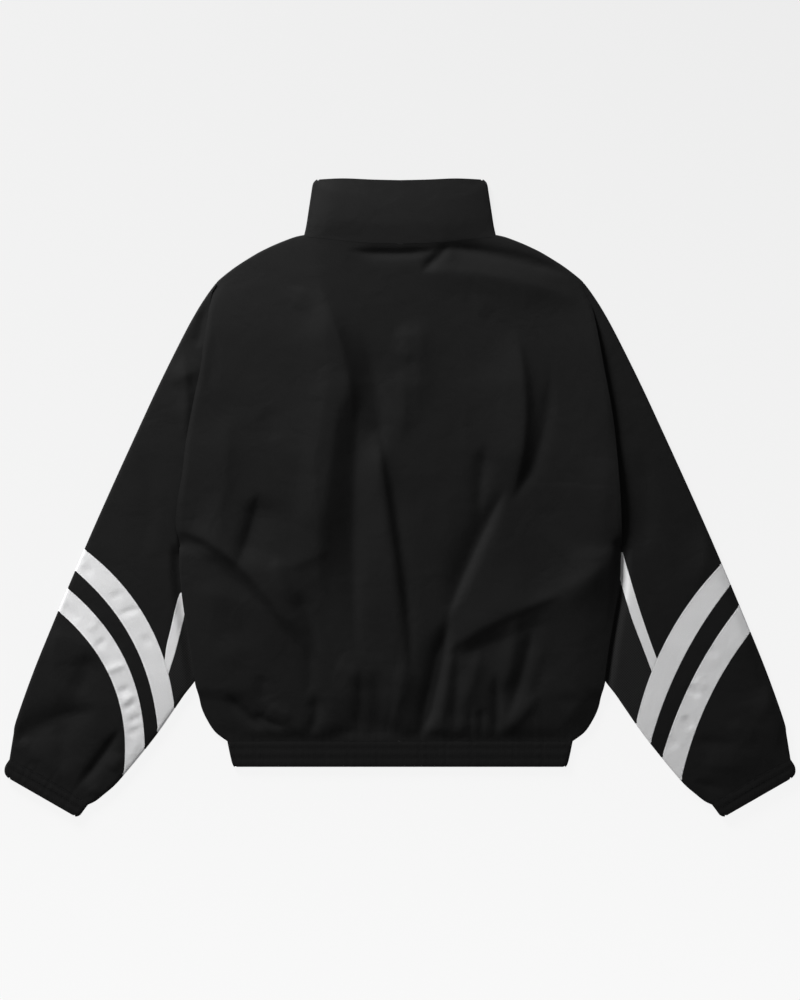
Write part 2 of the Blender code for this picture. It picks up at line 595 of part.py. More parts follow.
def fitted(sides):
    """Corners of a closed outline, each drawn in by half the seam gap or by the fold's roll."""
    first = np.vstack([side.at[:-1] - side.roll[:-1, None] * side.out[:-1] for side in sides])
    owners = [(s, i) for s, side in enumerate(sides) for i in range(len(side.at) - 1)]
    for number, (s, i) in enumerate(owners):
        previous = sides[s - 1]
        if i == 0 and previous.kind == "fold":
            first[number] = previous.at[-1] - previous.roll[-1] * previous.out[-1]
    along = np.roll(first, -1, axis=0) - first
    inward = np.column_stack([-along[:, 1], along[:, 0]]) * np.sign(loop_area(first))
    inward /= np.linalg.norm(inward, axis=1)[:, None]
    loop = first.copy()
    for number, (s, i) in enumerate(owners):
        after, before = inward[number], inward[number - 1]
        seam_after = sides[s].kind == "seam"
        seam_before = seam_after if i else sides[s - 1].kind == "seam"
        if seam_after and seam_before:
            loop[number] += (after + before) / (1 + after @ before) * SEAM_GAP / 2
        elif seam_after:
            loop[number] += after * SEAM_GAP / 2
        elif seam_before:
            loop[number] += before * SEAM_GAP / 2
    return loop


def inner_points(loop, step, height, flat_step, crease):
    """An even triangular grid within the outline, clear of its edge, and a crease's points."""
    low, high = loop.min(axis=0), loop.max(axis=0)
    row_height = step * np.sqrt(3) / 2
    columns, rows = np.meshgrid(np.arange(np.floor(low[0] / step), high[0] / step + 1),
                                np.arange(np.floor(low[1] / row_height), high[1] / row_height + 1))
    x = ((columns + (rows % 2) / 2) * step).ravel()
    y = (rows * row_height).ravel()
    keep = clear_of_edge(x, y, loop, EDGE_FREE * step)
    if flat_step > 1:
        coarse = ((columns % flat_step == 0) & (rows % flat_step == 0)).ravel()
        keep &= coarse | (height(x, y) > REST + 0.02)
    if len(crease):
        own = clear_of_edge(crease[:, 0], crease[:, 1], loop, CREASE_STEP / 4)
        keep &= distance(x, y, crease) > EDGE_FREE * step
        return np.append(x[keep], crease[own, 0]), np.append(y[keep], crease[own, 1])
    return x[keep], y[keep]


def clear_of_edge(x, y, loop, free):
    """Which points lie within a closed outline and at least so far from its edge."""
    return inside(x, y, loop) & (distance(x, y, np.vstack([loop, loop[:1]])) > free)


def surface(x, y, height, up):
    """Points of a layer and the way that each faces."""
    d = SLOPE_STEP
    slope_x = (height(x + d, y) - height(x - d, y)) / (2 * d)
    slope_y = (height(x, y + d) - height(x, y - d)) / (2 * d)
    way = np.column_stack([-slope_x, -slope_y, np.ones_like(x)]) * up
    way /= np.linalg.norm(way, axis=1)[:, None]
    return np.column_stack([x, y, height(x, y)]), way


def tube(name, colour, sides, step=SLEEVE_STEP, crease=()):
    """A piece that goes all round a sleeve: alternate seams and folded edges."""
    cloth = Cloth()
    top = cloth.panel(sides, sleeve_height, True, step, crease=crease)
    low = cloth.panel(sides, ground, False, step, FLAT_STEP)
    for side, upper, lower in zip(sides, top, low):
        if side.kind == "fold":
            cloth.roll(side, upper, lower)
    return cloth.finish(name, colour)


def ground(x, y):
    """A sleeve's lower layer lies flat."""
    return np.full(np.shape(x), REST)


def flat_strip(name, colour, sides, height, up, step, wall=CLOTH):
    """A piece that lies wholly on one side."""
    cloth = Cloth()
    cloth.panel(sides, height, up, step)
    return cloth.finish(name, colour, wall)


# ---------------------------------------------------------------- objects

def fresh_scene():
    for obj in list(bpy.data.objects):
        bpy.data.objects.remove(obj, do_unlink=True)
    collection = bpy.data.collections.new("track_jacket")
    bpy.context.scene.collection.children.link(collection)
    cutters = bpy.data.collections.new("zip_slider_parts")
    bpy.context.scene.collection.children.link(cutters)
    return collection, cutters


COLLECTION, CUTTERS = fresh_scene()


def material(name, colour, roughness, metallic):
    made = bpy.data.materials.new(name)
    made.use_nodes = True
    shader = made.node_tree.nodes["Principled BSDF"]
    shader.inputs["Base Color"].default_value = colour
    shader.inputs["Roughness"].default_value = roughness
    shader.inputs["Metallic"].default_value = metallic
    return made


def add_object(name, points, faces, colour, roughness, metallic):
    mesh = bpy.data.meshes.new(name)
    mesh.from_pydata([tuple(p) for p in points], [], faces)
    mesh.materials.append(material(name, colour, roughness, metallic))
    obj = bpy.data.objects.new(name, mesh)
    COLLECTION.objects.link(obj)
    return obj


def make_sleeve(hand):
    lines = HANDS[hand]
    outline, marks = lines["outline"], lines["outline_marks"]
    inner, inner_marks = lines["inner"], lines["inner_marks"]
    by_outer, by_piping, by_gusset = lines["band_1_by"]
    outer_start, inner_start = lines["piping_outer"].at[0], lines["piping_inner"].at[0]
    gusset_point = inner.at[inner_marks[1]]
    gusset_top = Line("seam", [gusset_point, inner_start])
    piping_top = Line("seam", [inner_start, outer_start])

    side = lines["side"]
    edge = spaced(side.at + OUTSIDE_FREE * side.out, CREASE_STEP)
    edge = edge[edge[:, 1] > TUCK_END]

    tube("upper_sleeve_" + hand, BLACK_CLOTH,
         [lines["armhole"], inner.cut(0, inner_marks[1]), gusset_top, piping_top,
          lines["piping_outer"], by_outer.back(), outline.cut(marks[5], marks[6])], crease=edge)
    tube("gusset_" + hand, MESH_CLOTH,
         [gusset_top.back(), inner.cut(inner_marks[1], inner_marks[2]), by_gusset.back(),
          lines["piping_inner"].back()], SMALL_STEP, edge)
    strip = [piping_top, lines["piping_outer"], by_piping, lines["piping_inner"].back()]
    flat_strip("piping_back_" + hand, PALE_CLOTH, strip, sleeve_height, True, STRIP_STEP)
    flat_strip("piping_front_" + hand, PALE_CLOTH, strip, ground, False, STRIP_STEP)

    seams = ["band_1_top", "band_1_foot", "band_2_top", "band_2_foot", "cuff_seam", "cuff_end"]
    pieces = [("band_1_", PALE_CLOTH), ("stripe_", BLACK_CLOTH), ("band_2_", PALE_CLOTH),
              ("lower_sleeve_", BLACK_CLOTH), ("cuff_", RIB_CLOTH)]
    for i, (name, colour) in enumerate(pieces):
        tube(name + hand, colour,
             [lines[seams[i]], inner.cut(inner_marks[2 + i], inner_marks[3 + i]),
              lines[seams[i + 1]].back(), outline.cut(marks[4 - i], marks[5 - i])])


def across(rows, step):
    """A line from the left half of a table of half widths over to the right half."""
    half = smooth(rows)
    right = half[::-1]
    return spaced(np.vstack([half * [-1, 1], right[1:]]), step)


def corner(side, at, lap=False):
    """The point at one end of a fold, or of the seam that follows it."""
    return (side.lap() if lap else side).at[[at]]


def over_to(start, middle, end, start_at, end_at):
    """A seam from one fold to another across the upper layer, with the laps' ends in it."""
    return Line("seam", np.vstack([corner(start, start_at), corner(start, start_at, True), middle,
                                   corner(end, end_at, True), corner(end, end_at)]))


def body_folds(hand):
    """The folded edges of one side of the body."""
    lines = HANDS[hand]
    side, outline = lines["side"], lines["outline"]
    hem_corner, foot = lines["side_marks"][1:]
    shoulder, neck, top = lines["outline_marks"][6:]
    return {"side": side.cut(0, hem_corner), "hem": side.cut(hem_corner, foot),
            "shoulder": outline.cut(shoulder, neck), "collar": outline.cut(neck, top)}


def front_lines(own, sign):
    """The seams of one front: its neck and its hem, from the fold to the zip."""
    neck = spaced(smooth(NECK_FRONT), BACK_STEP) * [sign, 1]
    neck_start = [corner(own["collar"], 0), corner(own["collar"], 0, True)]
    hem_start = [corner(own["side"], -1), corner(own["side"], -1, True)]
    hem = spaced(np.array([hem_start[1][0], [sign * ZIP_HALF, HEM_Y]]), LONG_STEP)
    return {"neck": Line("seam", np.vstack(neck_start + [neck[1:]])),
            "hem": Line("seam", np.vstack(hem_start + [hem[1:]]))}


def wrapped_band(name, colour, upper_sides, fold_at, lower_sides):
    """A band that goes from one zip edge round the back to the other.

    fold_at gives each hand's fold among the upper sides, and the way that it runs there against
    the lower sides, which start with that fold.
    """
    cloth = Cloth()
    ids = cloth.panel(upper_sides, body_height, True, BACK_STEP)
    for hand, sides in lower_sides.items():
        number, way = fold_at[hand]
        runs = cloth.panel(sides, low_height, False, BACK_STEP, FLAT_STEP)
        cloth.roll(sides[0], ids[number][::way], runs[0])
    cloth.finish(name, colour)


def make_body():
    own = {hand: body_folds(hand) for hand in HANDS}
    fronts = {hand: front_lines(own[hand], SIGN[hand]) for hand in HANDS}
    left, right = own["left"], own["right"]
    neck_back = over_to(left["collar"], across(NECK_BACK, BACK_STEP)[1:-1], right["collar"], 0, 0)
    hem_half = corner(right["side"], -1, True)[0][0]
    hem_middle = spaced(np.array([[-hem_half, HEM_Y], [hem_half, HEM_Y]]), BACK_STEP)[1:-1]
    hem_back = over_to(left["side"], hem_middle, right["side"], -1, -1)

    # the back: its hem, folded sides, armholes, folded shoulders and neck
    cloth = Cloth()
    sides = [hem_back, right["side"].back(), HANDS["right"]["armhole"].back(), right["shoulder"],
             neck_back.back(), left["shoulder"].back(), HANDS["left"]["armhole"], left["side"]]
    for side, run in zip(sides, cloth.panel(sides, body_height, True, BACK_STEP)):
        if side.kind == "fold":
            cloth.roll(side, run, lap_height=low_height)
    cloth.finish("back", BLACK_CLOTH)

    # the collar and the hem band
    collar_top = Line("free", across(COLLAR_TOP, BACK_STEP))
    foot = Line("free", spaced(np.array([left["hem"].at[-1], right["hem"].at[-1]]), BACK_STEP))
    collar_lower, hem_lower = {}, {}
    for hand, sign in SIGN.items():
        neck, hem = fronts[hand]["neck"], fronts[hand]["hem"]
        rows = COLLAR_TOP[:-1] + ((ZIP_HALF, COLLAR_TOP[-1][1]),)
        top = Line("free", spaced(smooth(rows), BACK_STEP) * [sign, 1])
        zip_edge = Line("free", spaced(np.array([top.at[-1], neck.at[-1]]), BACK_STEP))
        collar_lower[hand] = [own[hand]["collar"], top, zip_edge, neck.back()]
        low_foot = Line("free", spaced(np.array([own[hand]["hem"].at[-1],
                                                 [sign * ZIP_HALF, HEM_SIDE[-1][1]]]), LONG_STEP))
        zip_edge = Line("free", [low_foot.at[-1], hem.at[-1]])
        hem_lower[hand] = [own[hand]["hem"], low_foot, zip_edge, hem.back()]
    wrapped_band("collar", BLACK_CLOTH,
                 [neck_back, right["collar"], collar_top.back(), left["collar"].back()],
                 {"right": (1, 1), "left": (3, -1)}, collar_lower)
    wrapped_band("hem_band", RIB_CLOTH,
                 [left["hem"], foot, right["hem"].back(), hem_back.back()],
                 {"left": (0, 1), "right": (2, -1)}, hem_lower)

    # the fronts, from the side and shoulder seams to the zip
    for hand, lines in HANDS.items():
        hem = Line("seam", fronts[hand]["hem"].at[1:])
        neck = Line("seam", fronts[hand]["neck"].at[1:])
        armhole = Line("seam", lines["armhole"].at[1:-1])
        zip_edge = Line("free", spaced(np.array([hem.at[-1], neck.at[-1]]), ZIP_STEP))
        cloth = Cloth()
        cloth.panel([hem, zip_edge, neck.back(), own[hand]["shoulder"].lap().back(), armhole,
                     own[hand]["side"].lap()], low_height, False, BACK_STEP, FLAT_STEP)
        cloth.finish("front_" + hand, BLACK_CLOTH)


def tape_height(x, y):
    """Middle of a zip tape: sewn on the inner face of the front."""
    return low_height(x, y) + CLOTH / 2 + SEAM_GAP + TAPE / 2


def box(name, low, high):
    """A box between two corners, in millimetres."""
    low, high = Vector(low) * MM, Vector(high) * MM
    mesh = bpy.data.meshes.new(name)
    shape = bmesh.new()
    bmesh.ops.create_cube(shape, size=1.0)
    bmesh.ops.scale(shape, vec=high - low, verts=shape.verts)
    bmesh.ops.translate(shape, vec=(low + high) / 2, verts=shape.verts)
    shape.to_mesh(mesh)
    shape.free()
    return bpy.data.objects.new(name, mesh)


def make_slider():
    """Two plates on a post, with a bridge below for the pull tab."""
    def plate(name, faces):
        return box(name, (-PLATE_X, SLIDER_Y - PLATE_Y, faces[0]),
                   (PLATE_X, SLIDER_Y + PLATE_Y, faces[1]))

    slider = plate("zip_slider", PLATE_LOW)
    slider.data.materials.append(material("zip_slider", METAL, 0.4, 1.0))
    COLLECTION.objects.link(slider)
    legs = [(name, (-BRIDGE_X, SLIDER_Y + start, BRIDGE_LOW),
             (BRIDGE_X, SLIDER_Y + start + BRIDGE_WALL, PLATE_LOW[0] + FUSE))
            for name, start in (("leg_low", -BRIDGE_Y), ("leg_high", BRIDGE_Y - BRIDGE_WALL))]
    added = [plate("upper_plate", PLATE_HIGH),
             box("post", (-POST_X, SLIDER_Y + POST_Y[0], PLATE_LOW[1] - FUSE),
                 (POST_X, SLIDER_Y + POST_Y[1], PLATE_HIGH[0] + FUSE)),
             box("bar", (-BRIDGE_X, SLIDER_Y - BRIDGE_Y + FUSE, BRIDGE_LOW),
                 (BRIDGE_X, SLIDER_Y + BRIDGE_Y - FUSE, BRIDGE_LOW + BRIDGE_BAR))]
    added += [box(*leg) for leg in legs]
    for part in (added[1], added[0], *added[3:], added[2]):
        part.hide_render = True
        part.display_type = "WIRE"
        CUTTERS.objects.link(part)
        join = slider.modifiers.new(part.name, "BOOLEAN")
        join.operation = "UNION"
        join.solver = "EXACT"
        join.object = part


def make_pull_tab():
    """A flat tab with a window for the bridge; it turns about its end bar."""
    curve = bpy.data.curves.new("pull_tab", "CURVE")
    curve.dimensions = "2D"
    curve.fill_mode = "BOTH"
    curve.extrude = TAB / 2 * MM
    outlines = (
        ((-TAB_HALF, TAB_BAR), (TAB_HALF, TAB_BAR), (TAB_HALF, TAB_ROUND - TAB_LONG),
         (TAB_HALF - TAB_ROUND, -TAB_LONG), (TAB_ROUND - TAB_HALF, -TAB_LONG),
         (-TAB_HALF, TAB_ROUND - TAB_LONG)),
        ((-WINDOW_HALF, -TAB_BAR), (WINDOW_HALF, -TAB_BAR), (WINDOW_HALF, -WINDOW_LONG),
         (-WINDOW_HALF, -WINDOW_LONG)),
    )
    for outline in outlines:
        spline = curve.splines.new("POLY")
        spline.points.add(len(outline) - 1)
        for point, (x, y) in zip(spline.points, outline):
            point.co = (x * MM, y * MM, 0.0, 1.0)
        spline.use_cyclic_u = True
    curve.materials.append(material("pull_tab", METAL, 0.4, 1.0))
    tab = bpy.data.objects.new("pull_tab", curve)
    tab.location = Vector((0.0, SLIDER_Y, HINGE_Z)) * MM
    tab.rotation_euler.x = math.radians(TAB_TILT)
    COLLECTION.objects.link(tab)


def make_zip():
    for hand, sign in SIGN.items():
        ends = np.array([[TAPE_IN, TAPE_FOOT], [TAPE_IN, TAPE_TOP],
                         [TAPE_OUT, TAPE_TOP], [TAPE_OUT, TAPE_FOOT]]) * [sign, 1]
        sides = [Line("free", spaced(ends[[i, (i + 1) % 4]], TAPE_STEP)) for i in range(4)]
        flat_strip("zip_tape_" + hand, TAPE_CLOTH, sides, tape_height, True, TAPE_STEP, TAPE)
    make_slider()
    make_pull_tab()


def main():
    make_body()
    for hand in HANDS:
        make_sleeve(hand)
    make_zip()


main()
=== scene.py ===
# %% [markdown]
# # A track jacket with a full zip
#
# A jacket of black woven cloth lies flat on its front, so that its back shows. Each sleeve has
# two pale bands, a pale piping and a gusset of mesh cloth under the arm. The hem and the cuffs
# are elastic. In this lesson every piece is cut, laid and creased as a maker would do it, over a
# plain solid model that gives the sizes.

# %% The fixed frame
import json

import bpy
import numpy as np
from numpy.linalg import norm
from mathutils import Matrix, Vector
from mathutils.geometry import delaunay_2d_cdt

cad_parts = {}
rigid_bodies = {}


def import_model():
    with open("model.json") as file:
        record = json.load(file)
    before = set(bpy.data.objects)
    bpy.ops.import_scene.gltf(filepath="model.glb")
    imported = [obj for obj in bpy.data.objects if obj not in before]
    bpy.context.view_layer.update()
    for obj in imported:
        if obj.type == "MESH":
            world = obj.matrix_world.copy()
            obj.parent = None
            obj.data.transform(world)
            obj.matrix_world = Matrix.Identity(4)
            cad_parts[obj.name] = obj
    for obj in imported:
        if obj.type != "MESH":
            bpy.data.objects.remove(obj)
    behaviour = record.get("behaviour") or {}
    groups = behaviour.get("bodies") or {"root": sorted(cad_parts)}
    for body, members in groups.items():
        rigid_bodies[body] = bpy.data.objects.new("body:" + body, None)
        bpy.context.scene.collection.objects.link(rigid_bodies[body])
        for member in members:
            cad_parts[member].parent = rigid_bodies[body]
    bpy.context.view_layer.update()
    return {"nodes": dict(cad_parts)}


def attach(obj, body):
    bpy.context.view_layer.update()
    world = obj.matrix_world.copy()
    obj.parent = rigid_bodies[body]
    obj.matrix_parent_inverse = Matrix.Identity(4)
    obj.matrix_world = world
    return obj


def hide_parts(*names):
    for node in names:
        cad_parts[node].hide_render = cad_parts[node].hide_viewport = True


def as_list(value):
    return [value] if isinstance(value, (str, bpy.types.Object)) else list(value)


for obj in list(bpy.data.objects):
    bpy.data.objects.remove(obj)
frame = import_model()
scene = bpy.context.scene
MM = 1000            # millimetres in a metre: the tables below are in millimetres

# %% [markdown]
# ## The sewing pattern
#
# On the real jacket the pattern is a set of lines: folded edges, seams and free edges. They could
# be traced as curves by hand, but the pieces must fit each other to a fraction of a millimetre.
# So each line is written once, as a short table of points in millimetres, and every piece that
# touches the line takes it from there. x is measured out from the centre back, y runs up to the
# collar.

# %% Outlines of one half
COLLAR_SIDE = ((103.5, 398), (107, 395.2), (108.9, 391), (110.6, 380), (113.7, 360),
               (116.6, 341), (119.3, 328.6))
OUTER_EDGE = ((119.3, 328.6), (132.3, 325.6), (151.8, 318.2), (168.1, 310.8), (181.6, 303.6),
              (205.1, 288.7), (224.1, 273.9), (231.1, 266.4), (241.7, 252), (254.3, 232.1),
              (270.9, 201.6), (300.7, 141.6), (328.5, 81.8), (355.9, 21.8), (382.7, -38.1),
              (408.6, -98.1), (433.7, -158), (458.1, -218.2), (479.3, -278), (482.8, -296.2),
              (487.8, -327))
CUFF_OUTER = ((487.8, -327), (493, -335.2), (494, -341.5), (492.8, -346),
              (489.3, -350))
LOWER_INNER = ((247, -190), (251, -215), (257, -228.5), (270, -245.5),
               (281, -261.5), (302.5, -292.5), (326, -322.5), (345, -345.3),
               (357.4, -359.1), (371.8, -371.3), (381, -378.5), (390.6, -383.2))
INNER_EDGE = {
    "left": ((275.6, -59), (275.2, -64), (272.5, -72), (267, -83), (261, -95),
             (255, -112), (250, -150)) + LOWER_INNER,
    "right": ((277, -61), (273.8, -63.8), (270.4, -69), (266, -80), (262.5, -96),
              (258, -120), (251, -150)) + LOWER_INNER,
}
CUFF_INNER = ((390.6, -383.2), (396, -390.3), (400.6, -396.4), (405.8, -397.9))
SHOULDER_Y = 267.5
NECK_TURN = (-0.77, -0.64)
ARMHOLE = {
    "left": ((233.5, 262), (237, 245), (241, 222), (246, 187), (249, 163),
             (256, 130), (262.5, 97), (268, 65), (271.5, 33), (276, 9),
             (279, -10), (281, -35), (277.5, -50)),
    "right": ((231, 256), (238, 243), (244, 220), (255, 161), (266, 99),
              (273, 29), (276, -20), (277, -54)),
}
LOWER_SIDE = ((269, -144), (261.5, -190), (256, -229), (251, -247.5),
              (247.5, -262.5), (240.7, -277.3), (230.7, -292.2), (215.4, -304))
BODY_SIDE = {
    "left": ((275.6, -59), (275.3, -72), (274.8, -94), (272.3, -119)) + LOWER_SIDE,
    "right": ((277, -61), (275.4, -76), (274.8, -98), (272.8, -121)) + LOWER_SIDE,
}
HEM_SIDE = ((215.4, -304), (212.6, -318), (209.5, -331), (207, -336))
HEM_Y, HEM_FOOT = HEM_SIDE[0][1], HEM_SIDE[-1][1]
NECK_BACK = ((113.5, 325.8), (90, 323.2), (60, 320), (30, 318), (0, 317.3))
ZIP_HALF = 6
NECK_FRONT = ((113.5, 325.8), (106, 308), (88, 287), (60, 270), (30, 263),
              (ZIP_HALF, 262))
COLLAR_TOP = ((103.5, 398), (70, 399), (35, 397.4), (0, 396.5))
print("points in the pattern's outlines:",
      sum(map(len, (COLLAR_SIDE, OUTER_EDGE, *INNER_EDGE.values(), *ARMHOLE.values()))))

# %% Seams across the sleeves
SLEEVE_SEAMS = {     # height at the outer and at the inner edge, and the bow towards the body
    "left": {"band_1_top": (-64.2, -262.5, 24.4), "band_1_foot": (-91.2, -292.5, 23.8),
             "band_2_top": (-113.2, -313.5, 26.2), "band_2_foot": (-141.5, -346, 30)},
    "right": {"band_1_top": (-81.8, -281.5, 16), "band_1_foot": (-108.5, -306, 11.6),
              "band_2_top": (-134.2, -324, 10.6), "band_2_foot": (-167.5, -352.5, 11.6)},
}
CUFF_SEAM_BOW = 3
PIPING = {           # its two edges, and where they meet the first band's seam, as shares of it
    "left": {"outer": ((274.4, -118.5), (277.6, -125), (281.3, -139.1), (286.6, -163.3),
                       (291.6, -184)),
             "inner": ((264, -118.5), (267.5, -134), (271.5, -154), (279.5, -188)),
             "meets": (0.74, 0.815)},
    "right": {"outer": ((278.2, -68), (281.6, -78.5), (288.2, -102), (298, -135),
                        (309, -168)),
              "inner": ((275.2, -68), (273.5, -88), (279.5, -117), (289.6, -151),
                        (303.2, -187)),
              "meets": (0.63, 0.705)},
}
SIGN = {"left": -1, "right": 1}
print("seams across each sleeve:", len(SLEEVE_SEAMS["left"]) + 1)

# %% [markdown]
# ## Lines with corners in the right places
#
# A table of a dozen points is made into a smooth curve, and the curve into even short steps. A
# Blender curve object could do this too, but plain arrays are easier to cut, join and offset. Two
# more helpers measure how far a point lies from a line and whether it is inside a loop: nearly
# every height in this jacket depends on the distance to a fold, a seam or a crease.

# %% Smooth lines and distances
STEP = 3.0           # corners along every seam and fold, and between them on the upper layers
UNDER_STEP = 7.0     # between them on the lower layers, which lie flat
ARC_STEP = 1.0       # along an arc that is cut where other seams meet it
FOLD = 1.9           # a folded edge rounds inwards by this much
FOLD_START = 12.0    # and takes this long to do so where it starts at the underarm
LAP = 6.0            # side and shoulder seams lie this far round on the under side
SMOOTH_STEPS, BOW_STEPS = 10, 60
END_CLEAR = 0.5      # least height from the end of a cut stretch to its next point


def smooth(rows):
    """A dense smooth line through the rows (Catmull-Rom)."""
    p = np.array(rows, float)
    ends = np.vstack([2 * p[0] - p[1], p, 2 * p[-1] - p[-2]])
    t = np.linspace(0, 1, SMOOTH_STEPS, endpoint=False)[:, None]
    parts = [0.5 * (2 * b + (c - a) * t + (2 * a - 5 * b + 4 * c - d) * t ** 2
                    + (3 * b - a - 3 * c + d) * t ** 3)
             for a, b, c, d in zip(ends, ends[1:], ends[2:], ends[3:])]
    return np.vstack(parts + [p[-1:]])


def run_along(line):
    """How far along the line each of its corners lies."""
    return np.concatenate([[0], np.cumsum(norm(np.diff(line, axis=0), axis=1))])


def leftwards(along):
    """Unit vectors that point to the left of the given ones."""
    left = np.column_stack([-along[:, 1], along[:, 0]])
    return left / norm(left, axis=1)[:, None]


def spaced(line, step=STEP):
    """The same line with corners at even distances of about one step, both ends kept."""
    line = np.array(line, float)
    run = run_along(line)
    at = np.linspace(0, run[-1], max(1, round(run[-1] / step)) + 1)
    return np.column_stack([np.interp(at, run, part) for part in line.T])


def x_at(line, y):
    """Where a line that falls steadily in y passes the given heights."""
    return np.interp(-y, -line[:, 1], line[:, 0])


def between(line, y_from, y_to):
    """The stretch of a line that falls steadily in y, between two heights."""
    middle = line[(line[:, 1] < y_from - END_CLEAR) & (line[:, 1] > y_to + END_CLEAR)]
    return np.vstack([[x_at(line, y_from), y_from], middle, [x_at(line, y_to), y_to]])


def bowed(start, end, bow):
    """A shallow arc from the outer edge to the inner one, bowed towards the body."""
    chord = end - start
    side = np.array([chord[1], -chord[0]]) / norm(chord)
    t = np.linspace(0, 1, BOW_STEPS + 1)[:, None]
    return start + chord * t + side * bow * 4 * t * (1 - t)


def by_steps(x, y, line):
    """For each step of a line: all points' squared distance, place on it and if on its left."""
    for a, b in zip(line, line[1:]):
        d = b - a
        t = np.clip(((x - a[0]) * d[0] + (y - a[1]) * d[1]) / (d @ d), 0, 1)
        ex, ey = x - a[0] - t * d[0], y - a[1] - t * d[1]
        yield ex * ex + ey * ey, t, d[0] * ey - d[1] * ex > 0


def distance(x, y, line):
    """Distance from each point to a line of the pattern."""
    best = np.full(x.shape, np.inf)
    for far, *_ in by_steps(x, y, line):
        best = np.minimum(best, far)
    return np.sqrt(best)


def inside(x, y, loop):
    """Whether each point lies within a closed loop."""
    hit = np.zeros(x.shape, bool)
    for a, b in zip(loop, np.roll(loop, -1, axis=0)):
        if a[1] != b[1]:
            crosses = (a[1] > y) != (b[1] > y)
            hit ^= crosses & (x < (b[0] - a[0]) * (y - a[1]) / (b[1] - a[1]) + a[0])
    return hit


def ramp(value, start, end):
    """A smooth step: 0 up to the start, and 1 from the end on."""
    t = np.clip((value - start) / (end - start), 0, 1)
    return t * t * (3 - 2 * t)


print("outer edge, mm:", round(run_along(smooth(OUTER_EDGE))[-1]))

# %% [markdown]
# ## Seams, folds and free edges
#
# A tailor marks what each edge of a piece is. A seam leaves a hair of a gap to the next piece,
# and one that was pressed with the iron hardly dips. A fold is where the cloth rolls round to the
# under side, so it also needs to know which way is out, and how far in the flat part ends. This
# small class keeps these together, so that a piece is simply a list of its sides.

# %% One side of a piece
class Line:
    """Corners of one side of a piece: a seam, a pressed seam, a fold or a free edge."""

    def __init__(self, kind, at, out=None, roll=None):
        self.kind = kind
        self.at = np.array(at, float)
        self.out = np.zeros_like(self.at) if out is None else np.array(out, float)
        self.roll = np.zeros(len(self.at)) if roll is None else np.array(roll, float)

    def part(self, which):
        return Line(self.kind, self.at[which], self.out[which], self.roll[which])

    def back(self):
        return self.part(slice(None, None, -1))

    def cut(self, first, last):
        return self.part(slice(first, last + 1))

    def lap(self):
        """The seam that follows a fold on the under side."""
        return Line("seam", self.at - (self.roll + LAP)[:, None] * self.out)

    def turned_to(self, sign):
        flip = np.array([sign, 1.0])
        return Line(self.kind, self.at * flip, self.out * flip, self.roll)


def straight(kind, start, end, step=STEP):
    """A side that runs straight from one corner to another."""
    return Line(kind, spaced([start, end], step))


def edge_line(stretches, side, turned=(), flat_start=False):
    """One folded edge through several stretches, and the corner number at which each ends."""
    at = np.vstack([stretches[0][:1]] + [stretch[1:] for stretch in stretches])
    marks = [0] + np.cumsum([len(stretch) - 1 for stretch in stretches]).tolist()
    out = leftwards(np.gradient(at, axis=0))
    roll = np.full(len(at), FOLD)
    if flat_start:
        roll *= ramp(run_along(at), 0, FOLD_START)
    for corner, way in turned:
        out[marks[corner]] = np.array(way) / norm(way)
    return Line("fold", at, out * side, roll), marks


print("sides are seam, pressed, fold or free")

# %% [markdown]
# ## All the lines of one hand
#
# The jacket is nearly the same on both sides, but not quite: worn cloth never lies evenly. So the
# lines are made once per hand from that hand's numbers, and then turned to their side. The
# corners where seams end on a fold are remembered by number, because a fold is shared by several
# pieces that each take their own stretch of it.

